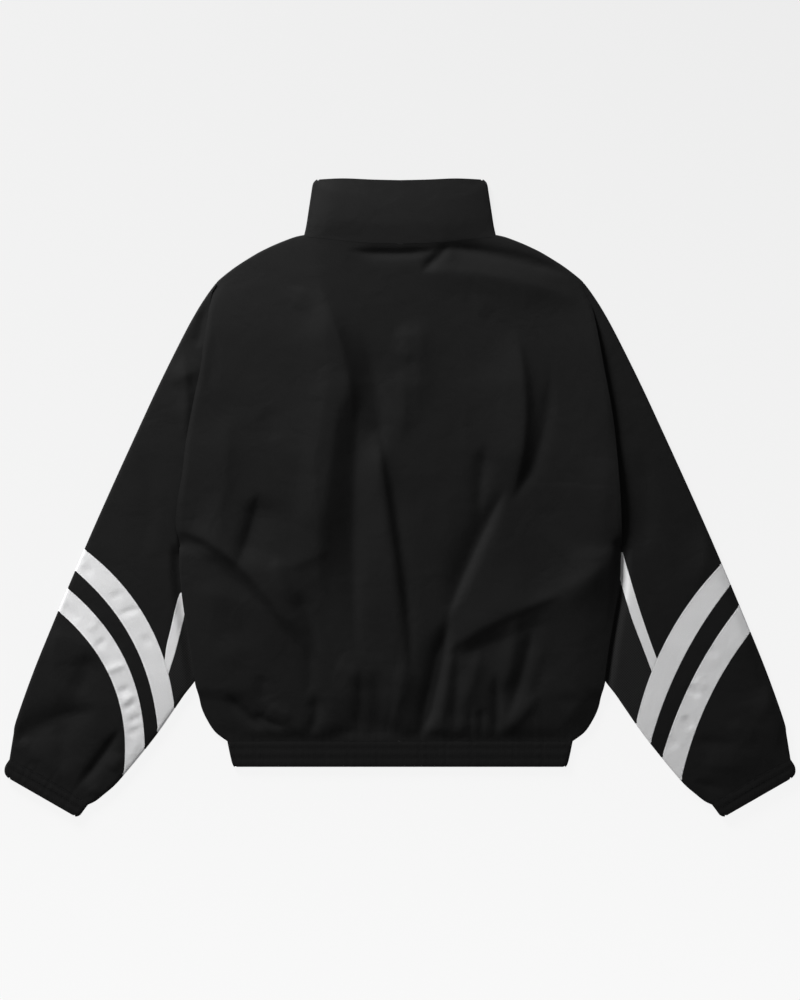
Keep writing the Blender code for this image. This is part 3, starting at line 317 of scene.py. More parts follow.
# %% Sewing lines
def sewing_lines(hand):
    """Every line of one hand, and the corner numbers on its three long folds."""
    seams = SLEEVE_SEAMS[hand]
    outer, inner = smooth(OUTER_EDGE), smooth(INNER_EDGE[hand])
    side, armhole = smooth(BODY_SIDE[hand]), smooth(ARMHOLE[hand])
    outer_y = [OUTER_EDGE[0][1], SHOULDER_Y] + [row[0] for row in seams.values()]
    inner_y = [PIPING[hand]["inner"][0][1]] + [row[1] for row in seams.values()]
    outer_y.append(OUTER_EDGE[-1][1])
    inner_y.append(INNER_EDGE[hand][-1][1])

    # up the outer edge: marks 0 and 1 are the cuff's, 2 to 5 the bands', 6 the shoulder's, 7 the
    # neck's and 8 the collar's top
    ups = [spaced(smooth(CUFF_OUTER))[::-1]]
    for low, high in zip(outer_y[:0:-1], outer_y[-2::-1]):
        ups.append(spaced(between(outer, high, low))[::-1])
    ups.append(spaced(smooth(COLLAR_SIDE))[::-1])
    outline, marks = edge_line(ups, -1, turned=((7, NECK_TURN),))

    # down the inner edge: the underarm 0, the gusset's top 1, the bands' seams 2 to 5, the
    # cuff's seam 6 and its end 7
    downs = [spaced(between(inner, inner[0][1], inner_y[0]))]
    for high, low in zip(inner_y, inner_y[1:]):
        downs.append(spaced(between(inner, high, low)))
    downs.append(spaced(smooth(CUFF_INNER)))
    inner_fold, inner_marks = edge_line(downs, -1, turned=((0, (0, 1)),), flat_start=True)

    # down the body's side: the underarm 0, the hem 1 and the hem band's foot 2
    body = [spaced(between(side, side[0][1], side[-1][1])), spaced(smooth(HEM_SIDE))]
    side_fold, side_marks = edge_line(body, 1, turned=((0, (0, -1)), (1, (1, 0))),
                                      flat_start=True)
    lines = {"outline": outline, "inner": inner_fold, "side": side_fold}

    top, foot = outline.cut(marks[6], marks[6]), side_fold.cut(0, 0)
    middle = spaced(between(armhole, armhole[1][1], armhole[-2][1]))[1:-1]
    under = spaced(middle, UNDER_STEP)[2:-2]
    lines["armhole"] = Line("seam", np.vstack([top.at, middle, foot.at]))
    lines["armhole_under"] = Line("seam", np.vstack([top.at, top.lap().at, under,
                                                     foot.lap().at, foot.at]))
    arcs = {name: bowed(outline.at[marks[5 - i]], inner_fold.at[inner_marks[2 + i]], row[2])
            for i, (name, row) in enumerate(seams.items())}
    arcs["cuff_seam"] = bowed(outline.at[marks[1]], inner_fold.at[inner_marks[6]],
                              CUFF_SEAM_BOW)
    for name, arc in arcs.items():
        lines[name] = Line("pressed", spaced(arc))
    lines["cuff_end"] = straight("free", outline.at[0], inner_fold.at[-1])

    # the first band's top is cut where the piping's two edges meet it
    arc = spaced(arcs["band_1_top"], ARC_STEP)
    meets = [round(share * (len(arc) - 1)) for share in PIPING[hand]["meets"]]
    parts = [spaced(arc[:meets[0] + 1]), spaced(arc[meets[0]:meets[1] + 1]),
             spaced(arc[meets[1]:])]
    lines["band_1_top"] = Line("pressed", np.vstack([parts[0], parts[1][1:], parts[2][1:]]))
    for name, part in zip(("by_sleeve", "by_piping", "by_gusset"), parts):
        lines[name] = Line("pressed", part)
    for name, meet in zip(("outer", "inner"), meets):
        rows = np.vstack([PIPING[hand][name], arc[meet]])
        lines["piping_" + name] = Line("pressed", spaced(smooth(rows)))
    return lines, {"outline": marks, "inner": inner_marks, "side": side_marks}


HANDS, MARKS = {}, {}
for hand, sign in SIGN.items():
    lines, MARKS[hand] = sewing_lines(hand)
    HANDS[hand] = {name: line.turned_to(sign) for name, line in lines.items()}
print("lines on each hand:", len(HANDS["left"]))

# %% [markdown]
# ## Creases
#
# Worn cloth that is laid down keeps soft ridges and troughs. A cloth simulation would fold it
# somewhere, but not here: the creases of this jacket run in known places, from the shoulder
# blades, the underarms and the gathered hem. So each is given as one row: three points
# along its line, its height (a trough is below nothing) and how wide it is on its left and on its
# right. Two different widths make a ledge, steep on one side and soft on the other.

# %% Creases of the back and of the sleeves
BODY_CREASES = (
    # the left shoulder blade, a broad swell that drops to a hollow on its right
    (-112, 328, -92, 122, -108, -128, 5, 32, 110), (-102, 268, -71, 172, -60, 92, 5.6, 12, 30),
    (-58, 160, -94, 50, -98, -152, 5.8, 24, 28), (-52, 210, -28, 122, -32, 35, -3.4, 12, 16),
    (-52, 122, -58, -28, -55, -215, -4.4, 14, 16),
    # the spine's fold
    (-32, 90, -15, -21, 15, -240, 6.4, 9, 20), (-25, 80, 0, -72, 15, -240, -3.6, 9, 7),
    (5, 222, 10, 191, 5, 165, 1.7, 12, 12), (5, 165, 5, 122, 0, 65, 1.8, 12, 14),
    (25, 232, 25, 172, 22, 98, 1.7, 15, 12),
    # the right shoulder blade, and the fold that hooks round its foot
    (142, 215, 155, 98, 135, -10, 6, 8, 40), (188, 178, 176, 72, 135, -8, -2.2, 9, 8),
    (252, 298, 258, 122, 248, -72, 5.4, 30, 66), (108, 72, 101, 22, 98, -35, -2.6, 8, 9),
    # the pull down to the hem
    (135, 18, 92, -65, 55, -160, -6, 7, 16), (62, -140, 45, -228, 16, -330, -8, 8, 12),
    (65, -170, 58, -228, 50, -290, 2.2, 8, 7),
    # the waist's lobe on the right, with its sharp lower edge
    (272, 92, 266, -52, 179, -142, 6.2, 30, 48), (42, -202, 118, -152, 208, -118, 4.4, 34, 11),
    (150, -142, 215, -112, 275, -72, 3, 14, 40), (72, -198, 125, -178, 200, -150, -1.8, 8, 24),
    # the shoulders and the neck
    (25, 314, 125, 304, 230, 274, -4, 6, 8), (12, 282, 125, 274, 238, 240, 3.3, 12, 22),
    (25, 280, 45, 300, 62, 315, -2.8, 5, 6), (-68, 309, -5, 306, 55, 311, -3.2, 4, 6),
    (85, 232, 100, 240, 95, 220, 0.8, 12, 14), (-120, 265, -125, 250, -135, 235, 0.9, 12, 14),
    # the collar
    (-130, 345, 0, 342, 125, 345, 1.5, 46, 18), (-78, 410, -88, 366, -90, 318, 1.6, 30, 20),
    # the left side
    (-212, 110, -220, 25, -228, -65, 2, 12, 26), (-172, 112, -162, 92, -165, 65, -1, 12, 12),
    (-175, 10, -186, -40, -205, -92, -5, 32, 9), (-122, 65, -129, 10, -135, -40, -1.2, 16, 22),
    (-145, -90, -115, -75, -88, -62, 1.2, 16, 7),
    # the pull from the left underarm
    (-285, -38, -200, -82, -110, -202, 7, 34, 8), (-280, -58, -205, -105, -125, -195, -1, 6, 24),
    (-155, -72, -148, -100, -130, -142, 1.6, 8, 10),
    (-128, -115, -115, -150, -98, -198, -2.2, 6, 7),
    (-222, -165, -195, -212, -172, -272, 2.2, 16, 22),
    (-268, -115, -188, -135, -88, -178, 2.6, 20, 46),
    # gathers above the hem
    (-220, -245, -195, -268, -165, -295, -2.4, 5, 7),
    (-182, -265, -165, -280, -138, -286, -2.2, 4, 5),
    (-165, -255, -150, -268, -130, -275, 1.4, 7, 7),
    (-172, -218, -172, -238, -172, -260, -1.2, 7, 8),
    (-115, -178, -112, -218, -118, -255, -1.6, 8, 8),
    (-110, -240, -105, -272, -118, -305, -3, 7, 7), (-50, -212, -50, -258, -52, -305, -2.8, 8, 7),
    (-30, -208, -28, -262, -28, -318, -4, 18, 20), (-82, -252, -35, -242, 15, -252, 4.6, 42, 46),
    (8, -190, 0, -252, -12, -305, 3, 12, 10), (-95, -290, -48, -298, 5, -295, -1.6, 6, 8),
    (-8, -298, 25, -302, 62, -298, -1.8, 6, 8), (-98, -318, -35, -311, 18, -318, -5.5, 40, 6),
    (72, -178, 70, -248, 65, -305, -2.4, 8, 8), (88, -260, 88, -285, 88, -308, -1.6, 4, 4),
    (102, -258, 102, -282, 102, -308, -1.8, 4, 4), (120, -215, 121, -262, 120, -308, -3, 6, 6),
    (102, -185, 90, -228, 75, -272, 2.2, 9, 10), (148, -142, 140, -195, 125, -252, 2.4, 9, 12),
    (165, -158, 155, -212, 128, -288, -3, 8, 8), (175, -242, 152, -270, 125, -300, 2.4, 7, 12),
    (235, -240, 220, -260, 202, -285, 1.8, 12, 16), (185, -190, 176, -222, 168, -252, -1.2, 8, 8),
    (-82, -208, -68, -215, -50, -228, 1, 10, 10),
    # welts along the armholes
    (-225, 300, -241, 188, -260, 85, 2, 40, 4.5), (-251, 142, -265, 32, -276, -78, 1.6, 40, 4.5),
    (226, 272, 252, 168, 272, 40, 0.6, 5, 12), (264, 98, 276, 10, 280, -85, 0.6, 5, 12),
    (-232, 215, -232, 172, -245, 125, -0.9, 10, 6),
)
SLEEVE_CREASES = (
    # left upper sleeve
    (-274, 182, -266, 132, -270, 68, 2.6, 5, 9), (-292, 142, -266, 155, -240, 170, 1.7, 22, 9),
    (-240, 260, -249, 210, -256, 185, -1.6, 4, 7), (-325, 72, -312, -2, -325, -78, -1.4, 14, 18),
    # left lower sleeve and cuff
    (-458, -178, -410, -178, -362, -208, 1.6, 12, 44),
    (-495, -318, -440, -282, -370, -262, -4.2, 14, 18),
    (-395, -190, -395, -222, -412, -260, -2, 12, 16),
    (-428, -275, -422, -310, -425, -352, -2, 10, 10),
    (-348, -285, -375, -326, -410, -370, -3.6, 7, 5),
    (-458, -325, -455, -339, -455, -352, -2, 5, 5),
    (-485, -318, -475, -309, -458, -305, 1.4, 7, 7),
    (-428, -370, -412, -378, -395, -385, -2.4, 8, 8),
    (-390, -362, -380, -369, -368, -372, 1.8, 6, 6),
    (-442, -365, -430, -371, -420, -378, 1.4, 6, 6),
    (-362, -340, -355, -332, -345, -318, 1.2, 6, 6),
    # left bands
    (-368, -220, -356, -212, -340, -208, 0.9, 3, 3),
    (-352, -148, -338, -141, -322, -139, -0.8, 3, 3),
    (-362, -128, -354, -122, -345, -118, -0.6, 3, 4),
    (-360, -192, -350, -178, -345, -170, -0.4, 5, 7),
    (-382, -190, -374, -181, -365, -178, -0.7, 3, 4),
    (-392, -168, -384, -160, -375, -158, 0.5, 3, 4),
    (-352, -248, -345, -240, -335, -238, -0.8, 3, 4),
    (-348, -260, -339, -251, -328, -244, 0.8, 3, 3),
    (-345, -270, -338, -260, -328, -256, -0.7, 3, 3),
    (-340, -285, -331, -276, -322, -274, -0.8, 3, 3),
    (-340, -300, -332, -291, -322, -289, -0.7, 3, 4),
    (-342, -328, -332, -315, -328, -300, 0.5, 4, 4),
    (-422, -128, -412, -142, -395, -152, -0.8, 5, 6),
    (-390, -152, -378, -150, -370, -158, 0.5, 4, 5), (-398, -85, -390, -90, -380, -90, -0.6, 4, 5),
    (-322, -170, -316, -178, -308, -180, -0.6, 4, 4),
    # right lower sleeve and cuff
    (460, -222, 472, -272, 465, -322, 2, 8, 34), (362, -308, 395, -305, 428, -310, -1.1, 6, 8),
    (365, -352, 399, -365, 432, -376, -1.6, 5, 5), (430, -372, 450, -352, 472, -332, -1.2, 6, 7),
    (368, -372, 382, -378, 400, -380, -1.8, 5, 5), (470, -232, 460, -258, 438, -282, 1.1, 10, 12),
    (408, -280, 428, -292, 445, -305, 0.8, 8, 10), (375, -328, 400, -335, 430, -332, 1, 10, 8),
    # right bands
    (380, -18, 418, -130, 452, -252, 1.9, 7, 40), (358, -232, 365, -242, 378, -245, -0.8, 4, 4),
    (368, -222, 376, -232, 385, -238, 0.5, 3, 4), (352, -272, 359, -280, 365, -290, -0.8, 4, 4),
    (332, -298, 340, -305, 348, -312, -0.6, 4, 5), (382, -185, 390, -192, 400, -195, -0.5, 4, 4),
    # right upper sleeve
    (390, -28, 382, -72, 368, -115, 1.4, 12, 14), (300, 72, 308, -2, 300, -78, -1.4, 14, 18),
)
UNDER_CREASES = (
    # the fronts, seen from below
    (-60, 230, -90, 150, -110, 60, 1.2, 9, 16), (-150, 200, -130, 120, -140, 40, 1, 14, 9),
    (-200, 60, -150, -20, -120, -110, 1.3, 9, 18), (-60, 60, -80, -60, -70, -180, 1.1, 10, 16),
    (-180, -120, -140, -190, -120, -260, 1.2, 8, 14), (-90, -210, -80, -250, -84, -292, 1, 6, 9),
    (-50, -220, -45, -255, -46, -294, 0.9, 6, 8), (-150, -240, -146, -270, -150, -296, 0.9, 6, 7),
    (70, 220, 110, 130, 120, 30, 1.2, 16, 9), (170, 180, 150, 90, 165, -10, 1, 9, 14),
    (210, 20, 160, -60, 110, -130, 1.3, 18, 9), (60, 20, 70, -90, 55, -200, 1.1, 14, 10),
    (150, -110, 130, -180, 110, -270, 1.2, 9, 14), (60, -230, 62, -262, 58, -296, 1, 8, 6),
    (96, -240, 98, -270, 94, -298, 0.9, 6, 7), (176, -236, 170, -262, 172, -290, 0.9, 7, 6),
    # the sleeves, seen from below
    (-300, 70, -330, 10, -340, -60, 1.1, 10, 14), (-380, -60, -350, -100, -310, -120, 1, 8, 12),
    (-400, -180, -410, -240, -440, -290, 1.2, 10, 12),
    (-370, -240, -380, -290, -410, -340, 1, 8, 10), (300, 90, 320, 20, 345, -50, 1.1, 12, 9),
    (390, -80, 360, -120, 320, -140, 1, 12, 8), (380, -200, 400, -250, 430, -300, 1.1, 9, 12),
    (350, -250, 380, -300, 400, -350, 1, 8, 10),
)
print("creases placed by hand:",
      sum(map(len, (BODY_CREASES, SLEEVE_CREASES, UNDER_CREASES))))

# %% How creases add up
CREASE_STEPS = 8     # straight steps of a crease's line
CREASE_REACH = 2.6   # it is nothing beyond this many widths
CREASE_FADE, CREASE_TAPER = 0.34, 0.35   # share of its length at each end, and its width there
CREST, FLANK = 2.0, 1.4    # how round a crest is, and how straight its flanks are


def crease_heights(x, y, table):
    """Sum of all creases at each point. Each fades and narrows towards its two ends."""
    total = np.zeros(x.shape)
    for row in table:
        a, m, c = np.array(row[:6], float).reshape(3, 2)
        height, left, right = row[6:]
        t = np.linspace(0, 1, CREASE_STEPS + 1)[:, None]
        line = (1 - t) ** 2 * a + 2 * t * (1 - t) * (2 * m - (a + c) / 2) + t ** 2 * c
        reach = CREASE_REACH * max(left, right)
        low, high = line.min(axis=0) - reach, line.max(axis=0) + reach
        near = (x > low[0]) & (x < high[0]) & (y > low[1]) & (y < high[1])
        px, py = x[near], y[near]
        best, width, along = np.full(px.shape, np.inf), np.ones(px.shape), np.zeros(px.shape)
        for i, (far, share, on_left) in enumerate(by_steps(px, py, line)):
            closer = far < best
            best = np.where(closer, far, best)
            width = np.where(closer, np.where(on_left, left, right), width)
            along = np.where(closer, (i + share) / CREASE_STEPS, along)
        fade = ramp(along, 0, CREASE_FADE) * ramp(1 - along, 0, CREASE_FADE)
        width = width * (CREASE_TAPER + (1 - CREASE_TAPER) * fade)
        far = np.sqrt(best + CREST ** 2) - CREST
        total[near] += height * fade * np.exp(-(far / width) ** FLANK)
    return total


probe = np.array([[-25.0, 0.0], [60.0, -260.0]])
print("creases on the spine and by the hem, mm:", crease_heights(*probe.T, BODY_CREASES).round(1))

# %% [markdown]
# ## How high each layer lies
#
# Flat on a table, a jacket is two layers of cloth. The lower one lies on the table, and the upper
# one rises from the folded edges to a soft, puffed middle. Under the arms the body lies on the
# sleeves, so there its lower layer is lifted and the sleeve is pressed. The elastic hem and cuffs
# lie flatter, and the cloth above them blouses. Everything is one height for each point of the
# table, which keeps the layers apart by rule, not by luck.

# %% Heights of the layers
CLOTH = 1.2          # wall of the cloth
REST = CLOTH / 2     # the middle of a layer that lies on the table
BODY_FULL, SLEEVE_FULL = (3.2, 4.8), (4.8, 2.2)  # rise at a folded edge, and more inside it
PUFF_REACH = 32.0    # how far from the edge most of that is reached
CREASE_FREE = 7.0    # creases fade out this near to a folded edge
LEAST_RISE = 2.0     # the deepest trough still clears the lower layer
MOST_RISE = 17.4     # crests that meet don't pile up higher than this
LIMIT_BEND = 2.0     # how sharply heights bend towards these two limits
HEM_BAND, CUFF_BAND = (3.6, 13.0), (5.0, 18.0)   # height of each band, and reach of its pull
BAND_PUFF, CHANNEL_WIDTH = 0.4, 2.6              # of a band between its rows of stitches
HEM_ROWS = (HEM_Y, -313.4, -325.8, HEM_FOOT)     # the hem band's edges and stitch rows
CUFF_ROWS = (0.0, 9.5, 19.5)                     # the same, below the cuff's seam
GATHER, GATHER_REACH, GATHER_FREE = 0.32, 13.0, 6.0   # small pleats that the elastic makes
PLEATS = ((6.1, 1.4, 0.0), (11.3, 0.9, 1.0))     # what makes them uneven: length, share, start
PLEAT_LENGTH, PLEAT_MEAN, PLEAT_SWING, SWING_LENGTH, SWING_START = 1.35, 0.62, 0.38, 4.7, 2.0
NECK_RISE, NECK_AT, NECK_REACH = 2.6, 372.0, 48.0
BODY_LIFT, UPPER_SHARE = 3.3, 0.7     # of the body on a sleeve, and the upper layer's share of it
TUCKED_RISE = 1.8    # of the sleeve under it
TUCK_ABOVE, TUCK_START = 5.0, 20.0    # that stretch starts just above the underarm
# smooth steps from the first place to the second: the stretch's end, the lift inwards from the
# side, the sleeve's press outside the body, and the lift over the slider, across and along
TUCK_END, LIFT_END, OUTSIDE = (-256, -236), (74, 30), (14, 2)
SLIDER_LIFT, SLIDER_X, SLIDER_Y = 3.0, (45, 10), (300, 364)


def of_hand(x, y, measure):
    """A measure taken on each point's own side of the body."""
    result = np.zeros(x.shape)
    for hand, sign in SIGN.items():
        mine = x * sign >= 0
        if mine.any():
            result[mine] = measure(x[mine], y[mine], hand)
    return result


def from_lines(*names):
    """Measures how far a point is from the nearest of some lines, thinned out for speed."""
    def measure(x, y, hand):
        lines = [HANDS[hand][name].at for name in names]
        return np.min([distance(x, y, np.vstack([line[:-1:3], line[-1:]])) for line in lines],
                      axis=0)

    return measure


def tucked(y, hand):
    """1 along the stretch of the side where the body lies on the sleeve."""
    start = HANDS[hand]["side"].at[0][1] + TUCK_ABOVE
    return ramp(y, start, start - TUCK_START) * ramp(y, *TUCK_END)


def low_height(x, y):
    """Middle of the body's lower layer: flat, but for the lift over the sleeves and the slider."""
    def lift(x, y, hand):
        from_side = from_lines("side")(x, y, hand)
        over_sleeve = tucked(y, hand) * ramp(from_side, *LIFT_END)
        over_slider = ramp(abs(x), *SLIDER_X) * ramp(y, *SLIDER_Y)
        return BODY_LIFT * over_sleeve + SLIDER_LIFT * over_slider

    return REST + of_hand(x, y, lift)


def pleats(along):
    """Uneven small waves along an elastic band."""
    turn = along / PLEAT_LENGTH
    for length, share, start in PLEATS:
        turn = turn + share * np.sin(along / length + start)
    return np.sin(turn) * (PLEAT_MEAN + PLEAT_SWING * np.sin(along / SWING_LENGTH + SWING_START))


def rise(y, full, from_edge, past, along, rows, pull, creases):
    """Height of an upper layer above the one it lies on."""
    inward = 1 - np.exp(-from_edge / PUFF_REACH)
    free = full[0] + full[1] * inward
    free += creases * (1 - np.exp(-(from_edge / CREASE_FREE) ** 2))
    free += NECK_RISE * np.exp(-((y - NECK_AT) / NECK_REACH) ** 2) * inward
    free = LEAST_RISE + np.logaddexp(0, (free - LEAST_RISE) * LIMIT_BEND) / LIMIT_BEND
    free = MOST_RISE - np.logaddexp(0, (MOST_RISE - free) * LIMIT_BEND) / LIMIT_BEND
    in_band = np.where(past > 0, 1.0, np.exp(-(past / pull[1]) ** 2))
    from_row = np.min([abs(past - row) for row in rows], axis=0)
    channel = 1 - np.exp(-(from_row / CHANNEL_WIDTH) ** 2)
    band = pull[0] + np.where(past > 0, channel * (BAND_PUFF + GATHER * pleats(along)), 0.0)
    gathered = np.where(past > 0, 0.0, GATHER * np.exp(past / GATHER_REACH)) * pleats(along)
    return (free * (1 - in_band) + band * in_band
            + gathered * (1 - np.exp(-from_edge / GATHER_FREE)))


def body_height(x, y):
    """Middle of the upper layer of the body, the collar and the hem band."""
    sleeve_lift = low_height(x, np.minimum(y, SLIDER_Y[0])) - REST
    own = rise(y, BODY_FULL, of_hand(x, y, from_lines("outline", "side")), HEM_Y - y, x,
               [HEM_Y - row for row in HEM_ROWS], HEM_BAND, crease_heights(x, y, BODY_CREASES))
    return REST + np.maximum(UPPER_SHARE * sleeve_lift + own, sleeve_lift + LEAST_RISE)


def past_cuff_seam(x, y, hand):
    """How far each point lies past the cuff's seam, and how far along it."""
    first, last = HANDS[hand]["cuff_seam"].at[[0, -1]]
    way = (last - first) / norm(last - first)
    down = np.array([way[1], -way[0]]) * np.sign(way[0])
    return ((x - first[0]) * down[0] + (y - first[1]) * down[1],
            (x - first[0]) * way[0] + (y - first[1]) * way[1])


def outside_body(x, y, hand):
    """How far each point lies outside the body's side, and 0 within it."""
    side = HANDS[hand]["side"].at
    return np.where(np.abs(x) > np.abs(x_at(side, y)), distance(x, y, side), 0.0)


def sleeve_height(x, y):
    """Middle of the upper layer of a sleeve and its cuff."""
    def height(x, y, hand):
        past, along = past_cuff_seam(x, y, hand)
        own = rise(y, SLEEVE_FULL, from_lines("outline", "inner")(x, y, hand), past, along,
                   CUFF_ROWS, CUFF_BAND, crease_heights(x, y, SLEEVE_CREASES))
        press = tucked(y, hand) * ramp(outside_body(x, y, hand), *OUTSIDE)
        return REST + own * (1 - press) + TUCKED_RISE * press

    return of_hand(x, y, height)


probe = np.array([[0.0, 100.0], [-200.0, -90.0], [0.0, -320.0]])
print("upper layer, mm above the table:", body_height(*probe.T).round(1))

# %% [markdown]
# ## The under side
#
# The lower layers are pressed on the table by the cloth above them, so they show only faint
# creases, which lift off the table and never sink into it. They must also stay under the upper
# layer, so their height is held below it by a little more than the cloth's wall.

# %% Heights of the lower layers
UNDER_CLEAR = 1.5    # least height between the middles of two layers
LIFTED_END = 3.0     # creases end where a third of the lift over the sleeves is reached
# and start from the zip, the hem band's foot, the body's side and the cuff's seam
BY_ZIP, BY_FOOT, BY_SIDE, BY_CUFF = (18, 38), (25, 35), (20, 40), (-8, -20)


def with_under_creases(base, above, free):
    """A lower layer with its own faint creases where it is free to lift."""
    def height(x, y):
        flat = base(x, y)
        lifted = flat + crease_heights(x, y, UNDER_CREASES) * free(x, y)
        return np.maximum(flat, np.minimum(lifted, above(x, y) - UNDER_CLEAR))

    return height


def free_front(x, y):
    """Fronts are free between the zip and the sides, and not where they lie on a sleeve."""
    still = (low_height(x, y) - REST) / BODY_LIFT
    return (ramp(abs(x), *BY_ZIP) * np.clip(1 - LIFTED_END * still, 0, 1)
            * ramp(y - HEM_FOOT, *BY_FOOT))


def free_sleeve(x, y):
    """Sleeves are free outside the body and above the cuffs."""
    def free(x, y, hand):
        past, _ = past_cuff_seam(x, y, hand)
        return ramp(from_lines("side")(x, y, hand), *BY_SIDE) * ramp(past, *BY_CUFF)

    return of_hand(x, y, free)


def ground(x, y):
    return np.full(np.shape(x), REST)


front_height = with_under_creases(low_height, body_height, free_front)
sleeve_under = with_under_creases(ground, sleeve_height, free_sleeve)
probe = np.array([[-95.0, 140.0], [150.0, -70.0]])
print("fronts, mm above the table:", front_height(*probe.T).round(2))

# %% [markdown]
# ## Cloth from its outline
#
# A maker cuts a flat piece and sews it round. Here the outline of a piece is filled with small
# even triangles, which is what a constrained Delaunay fill is good at: a grid would leave steps
# along the curved seams, and filling the face alone would leave nothing inside to bend. Each
# corner is then lifted to its height, folded edges are rolled round, and the surface is given the
# cloth's wall on both sides. Along a seam the cloth dips a little, as stitches pull it down. The
# cut edges are marked sharp, so that the face of the cloth keeps its own shading up to them.

# %% Filling an outline
SEAM_GAP = 0.3
DIP, DIP_WIDTH = {"seam": 0.4, "pressed": 0.05}, 2.2   # of an upper layer along its seams
UNDER_DIP = 0.5      # share of it by which the lower layer rises there
TRIM_CLEAR = 0.7     # no corners of a seam this near to where a fold rounds
EDGE_CLEAR = 0.6     # no inner corners within this share of a step from the outline


def loop_area(loop):
    x, y = loop.T
    return np.sum(x * np.roll(y, -1) - y * np.roll(x, -1)) / 2


def fitted(sides):
    """Corners of a closed outline, drawn in by half the seam gap or by the fold's roll."""
    first = np.vstack([side.at[:-1] - side.roll[:-1, None] * side.out[:-1] for side in sides])
    sewn = []
    for number, side in enumerate(sides):
        before = sides[number - 1]
        if before.kind == "fold":
            first[len(sewn)] = before.at[-1] - before.roll[-1] * before.out[-1]
        sewn += [side.kind in DIP] * (len(side.at) - 1)
    inward = leftwards(np.roll(first, -1, axis=0) - first) * np.sign(loop_area(first))
    previous = np.roll(inward, 1, axis=0)
    both = (inward + previous) / (1 + (inward * previous).sum(axis=1))[:, None]
    sewn_after, sewn_before = np.array(sewn)[:, None], np.roll(sewn, 1)[:, None]
    move = np.where(sewn_after, np.where(sewn_before, both, inward),
                    np.where(sewn_before, previous, 0.0))
    return first + move * SEAM_GAP / 2


def trimmed(sides):
    """The same sides, with no seam corners inside the zone where a fold rounds."""
    folds = [side.at for side in sides if side.kind == "fold"]
    result = []
    for side in sides:
        keep = np.ones(len(side.at), bool)
        if side.kind != "fold":
            for fold in folds:
                keep &= distance(*side.at.T, fold) > FOLD + TRIM_CLEAR
        keep[[0, -1]] = True
        result.append(side.part(keep))
    return result


def inner_points(loop, step):
    """An even triangular grid within the outline, clear of its edge."""
    low, high = loop.min(axis=0), loop.max(axis=0)
    size = np.array([step, step * np.sqrt(3) / 2])
    columns, rows = np.meshgrid(*(np.arange(np.floor(a / s), b / s + 1)
                                  for a, b, s in zip(low, high, size)))
    x, y = ((columns + (rows % 2) / 2) * size[0]).ravel(), (rows * size[1]).ravel()
    keep = inside(x, y, loop)
    x, y = x[keep], y[keep]
    keep = distance(x, y, np.vstack([loop, loop[:1]])) > EDGE_CLEAR * step
    return np.column_stack([x[keep], y[keep]])


print("seam gap, mm:", SEAM_GAP)

# %% A piece of cloth
ROLL_STEPS = 6       # faces round a folded edge
FILL_INSIDE, FILL_NEAR = 1, 1e-4    # fill only the inside, and join corners nearer than this
PIECES = {}


def add_object(name, data):
    """A new object in the scene, at the origin."""
    made = bpy.data.objects.new(name, data)
    scene.collection.objects.link(made)
    return made


def add_mesh(name, points, edges, faces):
    """A new mesh object with smooth shading."""
    mesh = bpy.data.meshes.new(name)
    mesh.from_pydata(points, edges, faces, shade_flat=False)
    return add_object(name, mesh)


